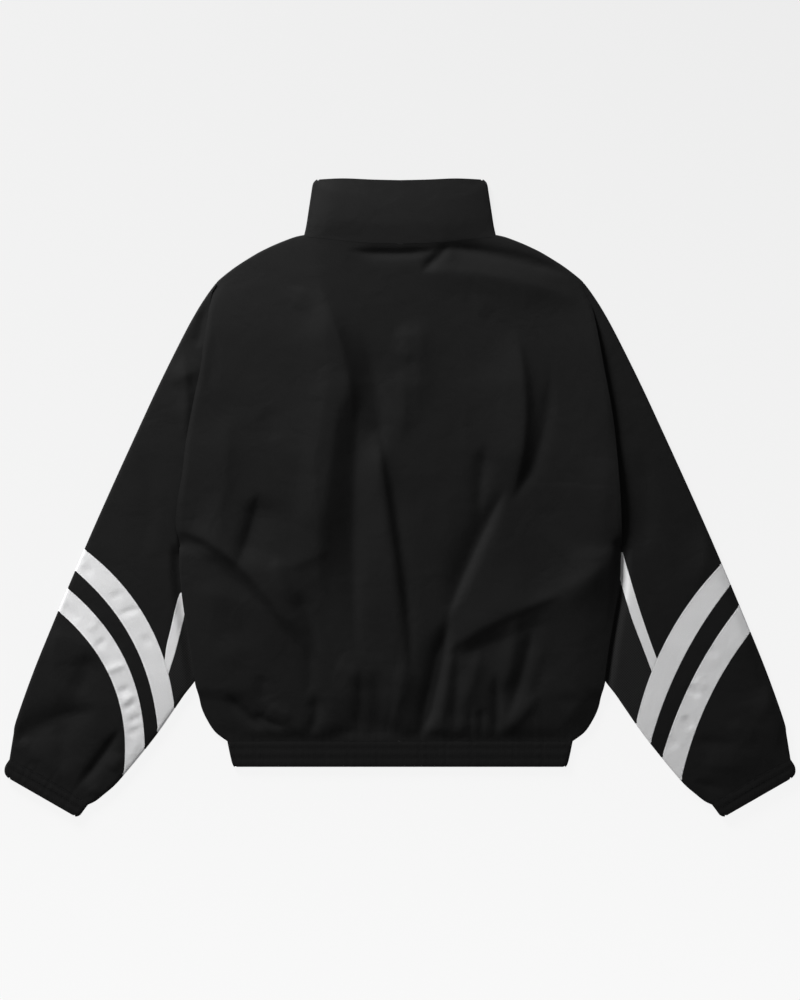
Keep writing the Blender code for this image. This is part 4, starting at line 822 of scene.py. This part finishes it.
class Cloth:
    """The middle surface of one piece, panel by panel, and then the piece itself."""

    def __init__(self):
        self.at, self.faces = np.zeros((0, 3)), []

    def add(self, points):
        first = len(self.at)
        self.at = np.vstack([self.at, points])
        return np.arange(first, len(self.at))

    def panel(self, sides, height, up, step=STEP):
        """Fill an outline and lift it; gives each side's corner numbers."""
        sides = trimmed(sides)
        loop = fitted(sides)
        plan = np.vstack([loop, inner_points(loop, step)])
        ring = list(range(len(loop)))
        if loop_area(loop) < 0:
            ring.reverse()
        faces, sources = delaunay_2d_cdt([tuple(p) for p in plan], [], [ring], FILL_INSIDE,
                                         FILL_NEAR)[2:4]
        x, y = plan.T
        dip = np.zeros(len(plan))
        for side in sides:
            if side.kind in DIP:
                from_seam = distance(x, y, side.at)
                dip = np.maximum(dip, DIP[side.kind] * np.exp(-(from_seam / DIP_WIDTH) ** 2))
        z = height(x, y) + (-dip if up else dip * UNDER_DIP)
        ids = self.add(np.column_stack([x, y, z]))
        for face in faces:
            run = [ids[sources[corner][0]] for corner in face]
            self.faces.append(run if up else run[::-1])
        runs, first = [], 0
        for side in sides:
            runs.append(ids[[(first + i) % len(loop) for i in range(len(side.at))]])
            first += len(side.at) - 1
        return runs

    def roll(self, side, top, low=None, lap_height=None):
        """Roll the cloth round a folded side, from the panel above to the panel or lap below."""
        upper = self.at[top]
        foot = side.at - side.roll[:, None] * side.out
        shift = upper[:, :2] - foot
        lap = []
        if low is None:
            foot = foot + shift
            edge = foot - (LAP - SEAM_GAP / 2) * side.out
            low = self.add(np.column_stack([foot, lap_height(*foot.T)]))
            lap = [self.add(np.column_stack([edge, lap_height(*edge.T)]))]
        lower = self.at[low]
        half = (upper[:, 2] - lower[:, 2]) / 2
        rows = [top]
        for turn in np.linspace(np.pi / 2, -np.pi / 2, ROLL_STEPS + 1)[1:-1]:
            plan = side.at + (side.roll * (np.cos(turn) - 1))[:, None] * side.out + shift
            rows.append(self.add(np.column_stack([plan, lower[:, 2] + half * (1 + np.sin(turn))])))
        rows += [low] + lap
        strip = [[a[i], a[i + 1], b[i + 1], b[i]]
                 for a, b in zip(rows, rows[1:]) for i in range(len(a) - 1)]
        middle = strip[len(side.at) * (ROLL_STEPS // 2)]
        a, b, c, d = self.at[middle]
        outwards = np.cross(c - a, d - b)[:2] @ side.out[len(side.at) // 2 - 1] > 0
        self.faces += strip if outwards else [face[::-1] for face in strip]

    def finish(self, name):
        """Give the surface its wall and make the object."""
        at, count = self.at, len(self.at)
        corners = np.array([(f[0], f[i], f[i + 1]) for f in self.faces
                            for i in range(1, len(f) - 1)])
        a, b, c = (at[corners[:, i]] for i in range(3))
        across = np.cross(b - a, c - a)
        area = norm(across, axis=1).sum() / 2 / MM ** 2
        way = np.zeros_like(at)
        for i in range(3):
            np.add.at(way, corners[:, i], across)
        way /= norm(way, axis=1)[:, None]
        rim = {}
        for face in self.faces:
            for a, b in zip(face, list(face[1:]) + [face[0]]):
                if rim.pop((b, a), None) is None:
                    rim[(a, b)] = True
        shell = [list(map(int, face)) for face in self.faces]
        shell += [[i + count for i in reversed(face)] for face in shell]
        shell += [[int(b), int(a), int(a) + count, int(b) + count] for a, b in rim]
        points = np.vstack([at + way * CLOTH / 2, at - way * CLOTH / 2]) / MM
        piece = add_mesh(name, points.tolist(), [], shell)
        mesh = piece.data
        cut = {mesh.loops[corner].edge_index for face in mesh.polygons[2 * len(self.faces):]
               for corner in face.loop_indices}
        mesh.edges.foreach_set("use_edge_sharp", [i in cut for i in range(len(mesh.edges))])
        PIECES[name] = {"object": piece, "area": area}
        print(f"{name}: {len(shell)} faces, {area:.4f} square metres of cloth")


print("faces round a fold:", ROLL_STEPS)

# %% [markdown]
# ## Sleeves
#
# A sleeve is a row of tubes, each flattened: an upper and a lower panel joined by the rolled
# folds at the outer and the inner edge. The gusset is a wedge round the inner edge, and a pale
# strip of piping is let in between it and the upper sleeve, above and below. They are all cut
# from the same lines, so the pale bands run on from one side to the other without a step.

# %% Sleeve pieces
def tube(name, sides, low_sides=None):
    """A piece that goes all round a sleeve: alternate seams and folded edges."""
    cloth = Cloth()
    top = cloth.panel(sides, sleeve_height, True)
    low = cloth.panel(low_sides or sides, sleeve_under, False, UNDER_STEP)
    for side, upper, lower in zip(sides, top, low):
        if side.kind == "fold":
            cloth.roll(side, upper, lower)
    cloth.finish(name)


for hand, lines in HANDS.items():
    outline, inner = lines["outline"], lines["inner"]
    marks, inner_marks = MARKS[hand]["outline"], MARKS[hand]["inner"]
    outer_start, inner_start = lines["piping_outer"].at[0], lines["piping_inner"].at[0]
    gusset_top = straight("pressed", inner.at[inner_marks[1]], inner_start)
    piping_top = straight("pressed", inner_start, outer_start)
    rest = [inner.cut(0, inner_marks[1]), gusset_top, piping_top, lines["piping_outer"],
            lines["by_sleeve"].back(), outline.cut(marks[5], marks[6])]
    tube("upper_sleeve_cloth_" + hand, [Line("pressed", lines["armhole"].at)] + rest,
         [lines["armhole_under"]] + rest)
    tube("gusset_mesh_" + hand,
         [gusset_top.back(), inner.cut(inner_marks[1], inner_marks[2]),
          lines["by_gusset"].back(), lines["piping_inner"].back()])
    for layer, height in (("back_", sleeve_height), ("front_", ground)):
        cloth = Cloth()
        cloth.panel([piping_top, lines["piping_outer"], lines["by_piping"],
                     lines["piping_inner"].back()], height, height is sleeve_height)
        cloth.finish("piping_strip_" + layer + hand)
    seams = [lines[name] for name in (*SLEEVE_SEAMS[hand], "cuff_seam", "cuff_end")]
    for i, name in enumerate(("pale_band_1_", "stripe_cloth_", "pale_band_2_",
                              "lower_sleeve_cloth_", "cuff_cloth_")):
        tube(name + hand, [seams[i], inner.cut(inner_marks[2 + i], inner_marks[3 + i]),
                           seams[i + 1].back(), outline.cut(marks[4 - i], marks[5 - i])])

# %% [markdown]
# ## Body, collar and hem band
#
# The back carries its side and shoulder folds round to the under side, where a lap of six
# millimetres meets the fronts at a seam. The collar and the hem band each go from one zip edge
# round the back to the other, so they are one upper panel with a lower panel at each end. The
# fronts are plain and lie on the table.

# %% Body pieces
def across(rows):
    """A line from the left half of a table of half widths over to the right half."""
    half = smooth(rows)
    return spaced(np.vstack([half * [-1, 1], half[::-1][1:]]))


def body_folds(hand):
    """The folded edges of one side of the body."""
    side, outline = HANDS[hand]["side"], HANDS[hand]["outline"]
    _, hem_corner, foot = MARKS[hand]["side"]
    shoulder, neck, top = MARKS[hand]["outline"][6:]
    return {"side": side.cut(0, hem_corner), "hem": side.cut(hem_corner, foot),
            "shoulder": outline.cut(shoulder, neck), "collar": outline.cut(neck, top)}


def front_seams(own, sign):
    """The neck and hem seams of one front, from the fold to the zip."""
    neck_lap, hem_lap = own["collar"].lap().at[0], own["side"].lap().at[-1]
    neck = spaced(smooth(NECK_FRONT) * [sign, 1], UNDER_STEP)[1:]
    hem = spaced([hem_lap, [sign * ZIP_HALF, HEM_Y]], UNDER_STEP)
    return {"neck": Line("seam", np.vstack([own["collar"].at[:1], [neck_lap], neck])),
            "hem": Line("seam", np.vstack([own["side"].at[-1:], hem]))}


def zip_edge(low, high):
    """The free edge that the zip is sewn to."""
    return straight("free", low, high, UNDER_STEP)


def wrapped_band(name, upper_sides, fold_at, lower_sides):
    """A band that goes from one zip edge round the back to the other."""
    cloth = Cloth()
    ids = cloth.panel(upper_sides, body_height, True)
    for hand, sides in lower_sides.items():
        number, way = fold_at[hand]
        runs = cloth.panel(sides, front_height, False, UNDER_STEP)
        cloth.roll(sides[0], ids[number][::way], runs[0])
    cloth.finish(name)


own = {hand: body_folds(hand) for hand in HANDS}
fronts = {hand: front_seams(own[hand], sign) for hand, sign in SIGN.items()}
left, right = own["left"], own["right"]
neck_back = Line("pressed", np.vstack([left["collar"].at[:1], across(NECK_BACK),
                                       right["collar"].at[:1]]))
hem_back = straight("pressed", left["side"].at[-1], right["side"].at[-1])

cloth = Cloth()
sides = [hem_back, right["side"].back(), HANDS["right"]["armhole"].back(), right["shoulder"],
         neck_back.back(), left["shoulder"].back(), HANDS["left"]["armhole"], left["side"]]
for side, run in zip(sides, cloth.panel(sides, body_height, True)):
    if side.kind == "fold":
        cloth.roll(side, run, lap_height=low_height)
cloth.finish("back_cloth")

collar_top = Line("free", across(COLLAR_TOP))
foot = straight("free", left["hem"].at[-1], right["hem"].at[-1])
collar_lower, hem_lower = {}, {}
for hand, sign in SIGN.items():
    neck, hem = fronts[hand]["neck"], fronts[hand]["hem"]
    top = Line("free", spaced(smooth(COLLAR_TOP[:-1] + ((ZIP_HALF, COLLAR_TOP[-1][1]),))
                              * [sign, 1]))
    collar_lower[hand] = [own[hand]["collar"], top, zip_edge(top.at[-1], neck.at[-1]),
                          neck.back()]
    low_foot = straight("free", own[hand]["hem"].at[-1], [sign * ZIP_HALF, HEM_FOOT])
    hem_lower[hand] = [own[hand]["hem"], low_foot, zip_edge(low_foot.at[-1], hem.at[-1]),
                       hem.back()]
wrapped_band("collar_cloth", [neck_back, right["collar"], collar_top.back(),
                              left["collar"].back()],
             {"right": (1, 1), "left": (3, -1)}, collar_lower)
wrapped_band("hem_band_cloth", [left["hem"], foot, right["hem"].back(), hem_back.back()],
             {"left": (0, 1), "right": (2, -1)}, hem_lower)

for hand, lines in HANDS.items():
    hem, neck = (Line("seam", fronts[hand][name].at[1:]) for name in ("hem", "neck"))
    armhole = Line("seam", lines["armhole_under"].at[1:-1])
    cloth = Cloth()
    cloth.panel([hem, zip_edge(hem.at[-1], neck.at[-1]), neck.back(),
                 own[hand]["shoulder"].lap().back(), armhole, own[hand]["side"].lap()],
                front_height, False, UNDER_STEP)
    cloth.finish("front_cloth_" + hand)

# %% [markdown]
# ## Writing node trees in words
#
# Materials and Geometry Nodes are trees of nodes joined by links. Drawn by hand they are easy to
# read, but a script that makes them soon hides the idea under bookkeeping. Two small classes fix
# that: one adds any node with its settings and inputs, and the other wraps a socket so that sums
# can be written with + and *, as on paper.

# %% A small language for nodes
class Value:
    """The output of a node, which can be added, multiplied and so on like a number."""

    def __init__(self, graph, node, output=0):
        self.graph, self.node = graph, node
        self.socket = node.outputs[output] if node.outputs else None

    def out(self, name):
        return Value(self.graph, self.node, name)

    def math(self, operation, *inputs):
        return self.graph.add("ShaderNodeMath", {"operation": operation},
                              dict(enumerate(inputs)))

    def __add__(self, other):
        return self.math("ADD", self, other)

    def __sub__(self, other):
        return self.math("SUBTRACT", self, other)

    def __rsub__(self, other):
        return self.math("SUBTRACT", other, self)

    def __mul__(self, other):
        return self.math("MULTIPLY", self, other)

    def __pow__(self, other):
        return self.math("POWER", self, other)

    def __rpow__(self, other):
        return self.math("POWER", other, self)

    __radd__ = __add__
    __rmul__ = __mul__

    def sine(self):
        return self.math("SINE", self)

    def clamped(self, low=0.0, high=1.0):
        return self.math("MINIMUM", self.math("MAXIMUM", self, low), high)


class Graph:
    """A node tree being written."""

    def __init__(self, tree):
        self.tree = tree

    def add(self, kind, settings=(), inputs=(), output=0):
        node = self.tree.nodes.new(kind)
        for name, value in dict(settings).items():
            setattr(node, name, value)
        for name, value in dict(inputs).items():
            if isinstance(value, Value):
                self.tree.links.new(value.socket, node.inputs[name])
            else:
                node.inputs[name].default_value = value
        return Value(self, node, output)

    def grey(self, level):
        """A colour of three equal parts."""
        return self.add("ShaderNodeCombineColor", inputs={0: level, 1: level, 2: level})

    def noise(self, place, **inputs):
        return self.add("ShaderNodeTexNoise", inputs={"Vector": place, **inputs})

    def bump(self, height, strength, depth, **inputs):
        return self.add("ShaderNodeBump", inputs={"Height": height, "Strength": strength,
                                                  "Distance": depth, **inputs})

    def surface(self, inputs):
        """The shader of a finish, and the end of its tree."""
        shader = self.add("ShaderNodeBsdfPrincipled", inputs=inputs)
        self.add("ShaderNodeOutputMaterial", inputs={"Surface": shader})


def new_material(name):
    """A material with an empty tree, and the graph to write it in."""
    material = bpy.data.materials.new(name)
    material.use_nodes = True
    material.node_tree.nodes.clear()
    return material, Graph(material.node_tree)


print("node language ready")

# %% [markdown]
# ## Woven cloth
#
# Seen close, this cloth is a plain weave: threads go over and under each other, and the weave
# repeats every three quarters of a millimetre. Modelling them would take millions of faces, so
# they are a bump: the product of two sine waves, one along each thread direction. Slower noise
# adds what a real cloth never lacks, a slightly uneven nap and faint rumples. All of it is
# measured in metres on the piece itself, so it has the same scale everywhere.

# %% Cloth materials
TURN = 6.2832        # a full turn, in radians
WEAVE = 0.00075      # metres after which the weave repeats
HOLE = 4.4           # repeats from one hole of the mesh to the next along a row
HOLE_EDGE = 2.4      # how steep a hole's edge is
RIB, RIB_WEAVE = 0.35, 0.25    # ribs in one repeat, and share of the weave on them
SHARE = {"plain": 0.22, "mesh": 1.1, "rib": 0.22}   # how much a pattern changes the colour
FINE_SHARE, FINE_ROUGH = 0.6, 0.12   # of the fine noise in colour and bump, and in roughness
CLOTHS = {   # name, colour, unevenness, roughness, metres of weave and of rumples, pattern
    "black": ("black_woven_cloth", (0.0095, 0.0095, 0.0095), 0.3, 0.72, 0.00006, 0.001, "plain"),
    "pale": ("pale_grey_cloth", (0.71, 0.71, 0.715), 0.05, 0.75, 0.00005, 0.0008, "plain"),
    # the collar takes the black cloth made lighter: painted light, for the lamp's light that falls
    # brighter on the collar
    "collar": ("black_collar_cloth", (0.0116, 0.0116, 0.0116), 0.3, 0.72, 0.00006, 0.001,
               "plain"),
    "mesh": ("black_mesh_cloth", (0.0125, 0.0125, 0.0125), 0.3, 0.7, 0.00045, 0.0006, "mesh"),
    "rib": ("elastic_band_cloth", (0.0085, 0.0085, 0.0085), 0.25, 0.78, 0.0001, 0.0006, "rib"),
    "tape": ("zip_tape_cloth", (0.01, 0.01, 0.0102), 0.2, 0.7, 0.00008, 0.0002, "rib"),
    "dark_thread": ("dark_thread", (0.0085, 0.0085, 0.0088), 0.2, 0.6, 0.00003, 0.0, "plain"),
    "pale_thread": ("pale_thread", (0.82, 0.82, 0.825), 0.1, 0.6, 0.00003, 0.0, "plain"),
}
BRUSHED_ROUGH = 0.25
METALS = {   # name, colour, roughness
    "metal": ("dark_zip_metal", (0.22, 0.22, 0.23, 1.0), 0.38),
    "teeth": ("zip_teeth_metal", (0.16, 0.16, 0.165, 1.0), 0.42),
}


def cloth_material(name, colour, uneven, roughness, weave, rumple, pattern):
    """Cloth: colour with a slow unevenness, a woven bump and faint rumples."""
    material, graph = new_material(name)
    place = graph.add("ShaderNodeTexCoord", output="Object")
    x = graph.add("ShaderNodeSeparateXYZ", inputs={0: place})
    y, turn = x.out("Y"), TURN / WEAVE
    if pattern == "plain":
        threads = (x * turn).sine() * (y * turn).sine()
        shade = threads * 0.5 + 0.5
    elif pattern == "mesh":
        holes = (x * (turn / HOLE)).sine() * (y * (turn / HOLE)).sine()
        threads = shade = 1.0 - (holes * HOLE_EDGE).clamped()
    else:
        shade = (x * (RIB * turn)).sine() * 0.5 + 0.5
        threads = shade + (y * turn).sine() * RIB_WEAVE
    slow = graph.noise(place, Scale=14.0, Detail=3.0, Roughness=0.55)
    fine = graph.noise(place, Scale=420.0, Detail=2.0)
    light = ((slow - 0.5) * uneven + (fine - 0.5) * (uneven * FINE_SHARE)
             + (shade - 0.5) * SHARE[pattern] + 1.0)
    tone = graph.add("ShaderNodeVectorMath", {"operation": "SCALE"},
                     {0: colour, "Scale": light}, output="Vector")
    rumples = graph.noise(place, Scale=26.0, Detail=4.0, Roughness=0.5, Distortion=0.6)
    broad = graph.bump(rumples, strength=1.0, depth=rumple)
    woven = graph.bump(threads + fine * FINE_SHARE, strength=0.6, depth=weave, Normal=broad)
    graph.surface({"Base Color": tone, "Roughness": (fine - 0.5) * FINE_ROUGH + roughness,
                   "Specular IOR Level": 0.06, "Normal": woven})
    return material


def metal_material(name, colour, roughness):
    """Worn dark metal: brushed by a stretched noise."""
    material, graph = new_material(name)
    place = graph.add("ShaderNodeTexCoord", output="Object")
    stretched = graph.add("ShaderNodeMapping", inputs={0: place, "Scale": (900.0, 60.0, 900.0)})
    brushed = graph.noise(stretched, Detail=2.0)
    graph.surface({"Base Color": colour, "Metallic": 1.0,
                   "Normal": graph.bump(brushed, strength=0.3, depth=0.00005),
                   "Roughness": (brushed - 0.5) * BRUSHED_ROUGH + roughness})
    return material


MATERIALS = {key: cloth_material(*row) for key, row in CLOTHS.items()}
MATERIALS.update({key: metal_material(*row) for key, row in METALS.items()})
print("materials:", ", ".join(MATERIALS))

# %% [markdown]
# ## Stitches
#
# A sewing machine makes the same stitch again and again along a seam. That is work for Geometry
# Nodes: a line of edges becomes a curve, the curve is cut into even lengths, and one small stitch
# is set on each point and turned along the line. The same tree later sets the zip's teeth. The
# shape, its spacing and its finish are named inputs, so the tree can be reused.

# %% A tree that sets shapes along a line
def along_tree():
    """A Geometry Nodes tree: line, shape, spacing and finish in, the row of shapes out."""
    tree = bpy.data.node_groups.new("shapes_along_a_line", "GeometryNodeTree")
    for name, kind in (("Line", "Geometry"), ("Shape", "Object"), ("Spacing", "Float"),
                       ("Finish", "Material")):
        tree.interface.new_socket(name, in_out="INPUT", socket_type="NodeSocket" + kind)
    tree.interface.new_socket("Shapes", in_out="OUTPUT", socket_type="NodeSocketGeometry")
    graph = Graph(tree)
    given = graph.add("NodeGroupInput", output="Line")
    curve = graph.add("GeometryNodeMeshToCurve", inputs={"Mesh": given})
    evenly = graph.add("GeometryNodeResampleCurve", {"mode": "LENGTH"},
                       {"Curve": curve, "Length": given.out("Spacing")})
    way = graph.add("GeometryNodeInputTangent")
    turn = graph.add("FunctionNodeAlignRotationToVector", {"axis": "X"}, {"Vector": way})
    shape = graph.add("GeometryNodeObjectInfo", {"transform_space": "ORIGINAL"},
                      {"Object": given.out("Shape")}, output="Geometry")
    placed = graph.add("GeometryNodeInstanceOnPoints",
                       inputs={"Points": evenly, "Instance": shape, "Rotation": turn})
    real = graph.add("GeometryNodeRealizeInstances", inputs={"Geometry": placed})
    finished = graph.add("GeometryNodeSetMaterial",
                         inputs={"Geometry": real, "Material": given.out("Finish")})
    graph.add("NodeGroupOutput", inputs={"Shapes": finished})
    return tree


ALONG = along_tree()
RING = 6             # corners round a small shape


def small_shape(name, rings):
    """A closed shape from rings of points, each ring given as (x, half y, half z)."""
    turns = [TURN * i / RING for i in range(RING)]
    points = [(x, half_y * np.cos(turn), half_z * np.sin(turn))
              for x, half_y, half_z in rings for turn in turns]
    faces = []
    for first in range(0, len(points) - RING, RING):
        for i in range(RING):
            a, b = first + i, first + (i + 1) % RING
            faces.append((a + RING, b + RING, b, a))
    faces += [tuple(range(RING)), tuple(range(len(points) - RING, len(points)))[::-1]]
    return add_mesh(name, points, [], faces)


def set_along(name, paths, shape, spacing, finish):
    """Set a shape along several paths, and make the result one plain mesh."""
    points, edges = [], []
    for path in paths:
        first = len(points)
        points += [tuple(p) for p in path / MM]
        edges += [(first + i, first + i + 1) for i in range(len(path) - 1)]
    guide = add_mesh(name + "_line", points, edges, [])
    setter = guide.modifiers.new("shapes", "NODES")
    setter.node_group = ALONG
    given = {"Shape": shape, "Spacing": spacing, "Finish": finish}
    for item in ALONG.interface.items_tree:
        if item.name in given:
            setter[item.identifier] = given[item.name]
    bpy.context.view_layer.update()
    seen = guide.evaluated_get(bpy.context.evaluated_depsgraph_get())
    result = bpy.data.meshes.new_from_object(seen)
    guide.modifiers.remove(setter)
    bpy.data.objects.remove(guide)
    result.name = name
    print(f"{name}: {len(result.polygons)} faces")
    return add_object(name, result)

# %% [markdown]
# ## Where the stitches run
#
# Topstitching holds every seam of the bands flat, a millimetre and a half inside the edge. Two
# rows hold the elastic in the hem and one in each cuff, and each has one more along its edge. A
# row follows the cloth's own height function, half a wall above it, so it lies on the cloth
# wherever the cloth goes.

# %% Rows of stitches
INSET, FOOT_INSET = 1.6, 1.8   # rows run this far inside an edge, and above the hem's foot
ROW_ENDS = 4.0       # and stop this far from its ends
HEM_ROW_HALF, ZIP_ROW_END = 207.0, 8.0   # ends of the hem's rows, by the side and by the zip
STITCH_PITCH = 0.0032    # metres from one stitch to the next
STITCH = ((-0.0012, 0.00008, 0.00005), (-0.0008, 0.0002, 0.00018), (0.0, 0.00024, 0.00024),
          (0.0008, 0.0002, 0.00018), (0.0012, 0.00008, 0.00005))


def offset(line, by):
    """A line moved sideways (to the left of its run), with its ends cut off."""
    moved = line + leftwards(np.gradient(line, axis=0)) * by
    run = run_along(moved)
    return moved[(run > ROW_ENDS) & (run < run[-1] - ROW_ENDS)]


def laid(line, height, up, dip=0.0):
    """The line on the face of the cloth, as points in space."""
    face = REST - dip if up else dip * UNDER_DIP - REST
    return np.column_stack([line, height(*line.T) + face])


dip = DIP["pressed"] * np.exp(-(INSET / DIP_WIDTH) ** 2)
pale_rows, dark_rows = [], []
for hand, lines in HANDS.items():
    inset = SIGN[hand] * INSET
    for name in SLEEVE_SEAMS[hand]:
        row = offset(lines[name].at, inset if name.endswith("top") else -inset)
        pale_rows += [laid(row, sleeve_height, True, dip), laid(row, sleeve_under, False, dip)]
    for name, by in (("piping_outer", -inset), ("piping_inner", inset)):
        row = offset(lines[name].at, by)
        free = outside_body(*row.T, hand) > OUTSIDE[1]
        pale_rows += [laid(row[free], sleeve_height, True, dip), laid(row, ground, False, dip)]
    for past in (INSET, CUFF_ROWS[1]):
        row = offset(lines["cuff_seam"].at, past * SIGN[hand])
        dark_rows += [laid(row, sleeve_height, True), laid(row, sleeve_under, False)]
for y in HEM_ROWS[1:3] + (HEM_FOOT + FOOT_INSET,):
    row = spaced([[-HEM_ROW_HALF, y], [HEM_ROW_HALF, y]])
    dark_rows.append(laid(row, body_height, True))
    for sign in SIGN.values():
        row = spaced([[sign * HEM_ROW_HALF, y], [sign * ZIP_ROW_END, y]])
        dark_rows.append(laid(row, front_height, False))
stitch = small_shape("stitch", STITCH)
pale_stitches, dark_stitches = (
    set_along(name, rows, stitch, STITCH_PITCH, MATERIALS[thread])
    for name, rows, thread in (("band_stitches", pale_rows, "pale_thread"),
                               ("hem_and_cuff_stitches", dark_rows, "dark_thread")))

# %% [markdown]
# ## The zip's teeth
#
# The zip closes the fronts from hem to collar, on the side that lies on the table. Each tooth is
# clamped on its tape and reaches between two teeth of the other side. One tooth is a small
# bevelled block, and the tree sets it along each tape, the right side half a tooth further on.

# %% Zip teeth
TOOTH_PITCH, TOOTH_X = 2.6, 1.5    # from one tooth to the next, and from the zip's middle
TEETH_FOOT, TEETH_TOP = -331.0, 373.0
TOOTH_RISE = 0.65    # of a tooth's middle above the inner face of the fronts
TOOTH = ((-0.0007, 0.0016, 0.0008), (-0.0005, 0.0023, 0.0011), (0.0005, 0.0023, 0.0011),
         (0.0007, 0.0016, 0.0008))

tooth = small_shape("tooth", TOOTH)
teeth_rows = []
for sign in SIGN.values():
    start = TEETH_FOOT + (TOOTH_PITCH / 2 if sign > 0 else 0.0)
    line = spaced([[sign * TOOTH_X, start], [sign * TOOTH_X, TEETH_TOP]])
    teeth_rows.append(np.column_stack([line, low_height(*line.T) + REST + TOOTH_RISE]))
zip_teeth = set_along("zip_teeth", teeth_rows, tooth, TOOTH_PITCH / MM, MATERIALS["teeth"])
for shape in (stitch, tooth):
    bpy.data.objects.remove(shape)

# %% [markdown]
# ## Finishes, bodies and flat sizes
#
# Every piece hides the solid that it stands for, moves with the garment's body and takes its
# finish. The size that each sheet of cloth was cut to is listed, and the share of that rectangle
# which the cloth fills is printed. Those sizes are the smallest rectangles that hold each flat cut,
# all round a tube, and the area is the cloth's own.

# %% Declarations
KINDS = {      # piece: (solid, finish, width and length of its cut, and the right's if they differ)
    "back_cloth": ("back", "black", (0.60, 0.64)),
    # the collar's finish is the black cloth made lighter, as painted light
    "collar_cloth": ("collar", "collar", (0.50, 0.14)),
    "hem_band_cloth": ("hem_band", "rib", (0.86, 0.034)),
    "front_cloth": ("front", "black", (0.28, 0.63)),
    "upper_sleeve_cloth": ("upper_sleeve", "black", (0.33, 0.38)),
    "gusset_mesh": ("gusset", "mesh", (0.10, 0.16), (0.12, 0.19)),
    "piping_strip_back": ("piping_back", "pale", (0.012, 0.12), (0.015, 0.15)),
    "piping_strip_front": ("piping_front", "pale", (0.012, 0.12), (0.015, 0.15)),
    "pale_band_1": ("band_1", "pale", (0.48, 0.04)),
    "stripe_cloth": ("stripe", "black", (0.47, 0.03)),
    "pale_band_2": ("band_2", "pale", (0.48, 0.04)),
    "lower_sleeve_cloth": ("lower_sleeve", "black", (0.44, 0.22), (0.40, 0.20)),
    "cuff_cloth": ("cuff", "rib", (0.24, 0.026)),
}
STITCHES = {"back_cloth": [dark_stitches, zip_teeth], "pale_band_1_left": [pale_stitches]}

for name, made in PIECES.items():
    plain, _, hand = name.rpartition("_")
    plain, hand = (plain, "_" + hand) if hand in SIGN else (name, "")
    solid, finish, *cuts = KINDS[plain]
    cut = cuts[-1] if hand == "_right" else cuts[0]
    piece, area = made["object"], made["area"]
    piece.data.materials.append(MATERIALS[finish])
    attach(piece, "garment")
    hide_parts(solid + hand)
    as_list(STITCHES.get(name, []))
    print(f"{name}: {area / cut[0] / cut[1]:.2f} of its rectangle")
for piece, slot in ((pale_stitches, "pale_cloth"), (dark_stitches, "black_cloth"),
                    (zip_teeth, "zip_metal")):
    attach(piece, "garment")
for node, finish in (("zip_tape_left", "tape"), ("zip_tape_right", "tape"),
                     ("zip_slider", "metal"), ("pull_tab", "metal")):
    kept = frame["nodes"][node].data.materials
    kept.clear()
    kept.append(MATERIALS[finish])

# %% [markdown]
# ## Floor, light and camera
#
# The jacket lies on a pale table under soft light from the upper left, seen from straight above
# through a long lens, so that nothing leans. The floor glows a little, as a table lit from all
# sides does, which keeps its shadows faint. The sky is dim above and bright at the horizon, so
# that folds keep their shape and a low view still has a pale background.

# %% Floor and sky
FLOOR_HALF, FLOOR_Z = 8.0, -0.0004
FLOOR_GLOW, FLOOR_FALL, FLOOR_LIMITS = 0.86, 0.09, (0.7, 0.98)   # glow, and its fall in a metre
SKY_LOW, SKY_HIGH, SKY_CURVE = 0.75, 0.06, 0.5   # at the horizon, straight up, and in between

floor = add_mesh("floor", [(x * FLOOR_HALF, y * FLOOR_HALF, FLOOR_Z)
                           for x, y in ((-1, -1), (1, -1), (1, 1), (-1, 1))], [], [(0, 1, 2, 3)])
material, graph = new_material("pale_floor")
place = graph.add("ShaderNodeTexCoord", output="Object")
height = graph.add("ShaderNodeSeparateXYZ", inputs={0: place}, output="Y")
glow = (FLOOR_GLOW - height * FLOOR_FALL).clamped(*FLOOR_LIMITS)
graph.surface({"Base Color": (0.04, 0.04, 0.04, 1.0), "Roughness": 0.9,
               "Specular IOR Level": 0.0, "Emission Color": graph.grey(glow),
               "Emission Strength": 1.0})
floor.data.materials.append(material)

world = bpy.data.worlds.new("soft_sky")
scene.world = world
world.use_nodes = True
world.node_tree.nodes.clear()
graph = Graph(world.node_tree)
way = graph.add("ShaderNodeTexCoord", output="Generated")
up = graph.add("ShaderNodeSeparateXYZ", inputs={0: way}, output="Z")
level = SKY_LOW - (up.clamped() ** SKY_CURVE) * (SKY_LOW - SKY_HIGH)
sky = graph.add("ShaderNodeBackground", inputs={"Color": graph.grey(level), "Strength": 1.0})
graph.add("ShaderNodeOutputWorld", inputs={"Surface": sky})
print("sky, from the horizon up:", SKY_LOW, "to", SKY_HIGH)

# %% Light and camera
KEY_AT, KEY_POWER, KEY_SIZE = (-1.45, 2.25, 0.98), 168.0, 0.9
LENS, SENSOR, SEEN = 100.0, 36.0, 1.25   # two in millimetres, and metres of the table in view
CAMERA_Y, CAMERA_UP = -0.0025, 0.004

data = bpy.data.lights.new("key_light", "AREA")
data.shape, data.size, data.energy = "DISK", KEY_SIZE, KEY_POWER
key = add_object("key_light", data)
key.location = KEY_AT
key.rotation_euler = (-Vector(KEY_AT)).to_track_quat("-Z", "Y").to_euler()

data = bpy.data.cameras.new("camera")
data.lens, data.sensor_width = LENS, SENSOR
camera = add_object("camera", data)
camera.location = (0.0, CAMERA_Y, LENS / SENSOR * SEEN + CAMERA_UP)
bpy.context.scene.camera = camera
scene.view_settings.view_transform = "Standard"
print("camera, m above the table:", round(camera.location.z, 3))
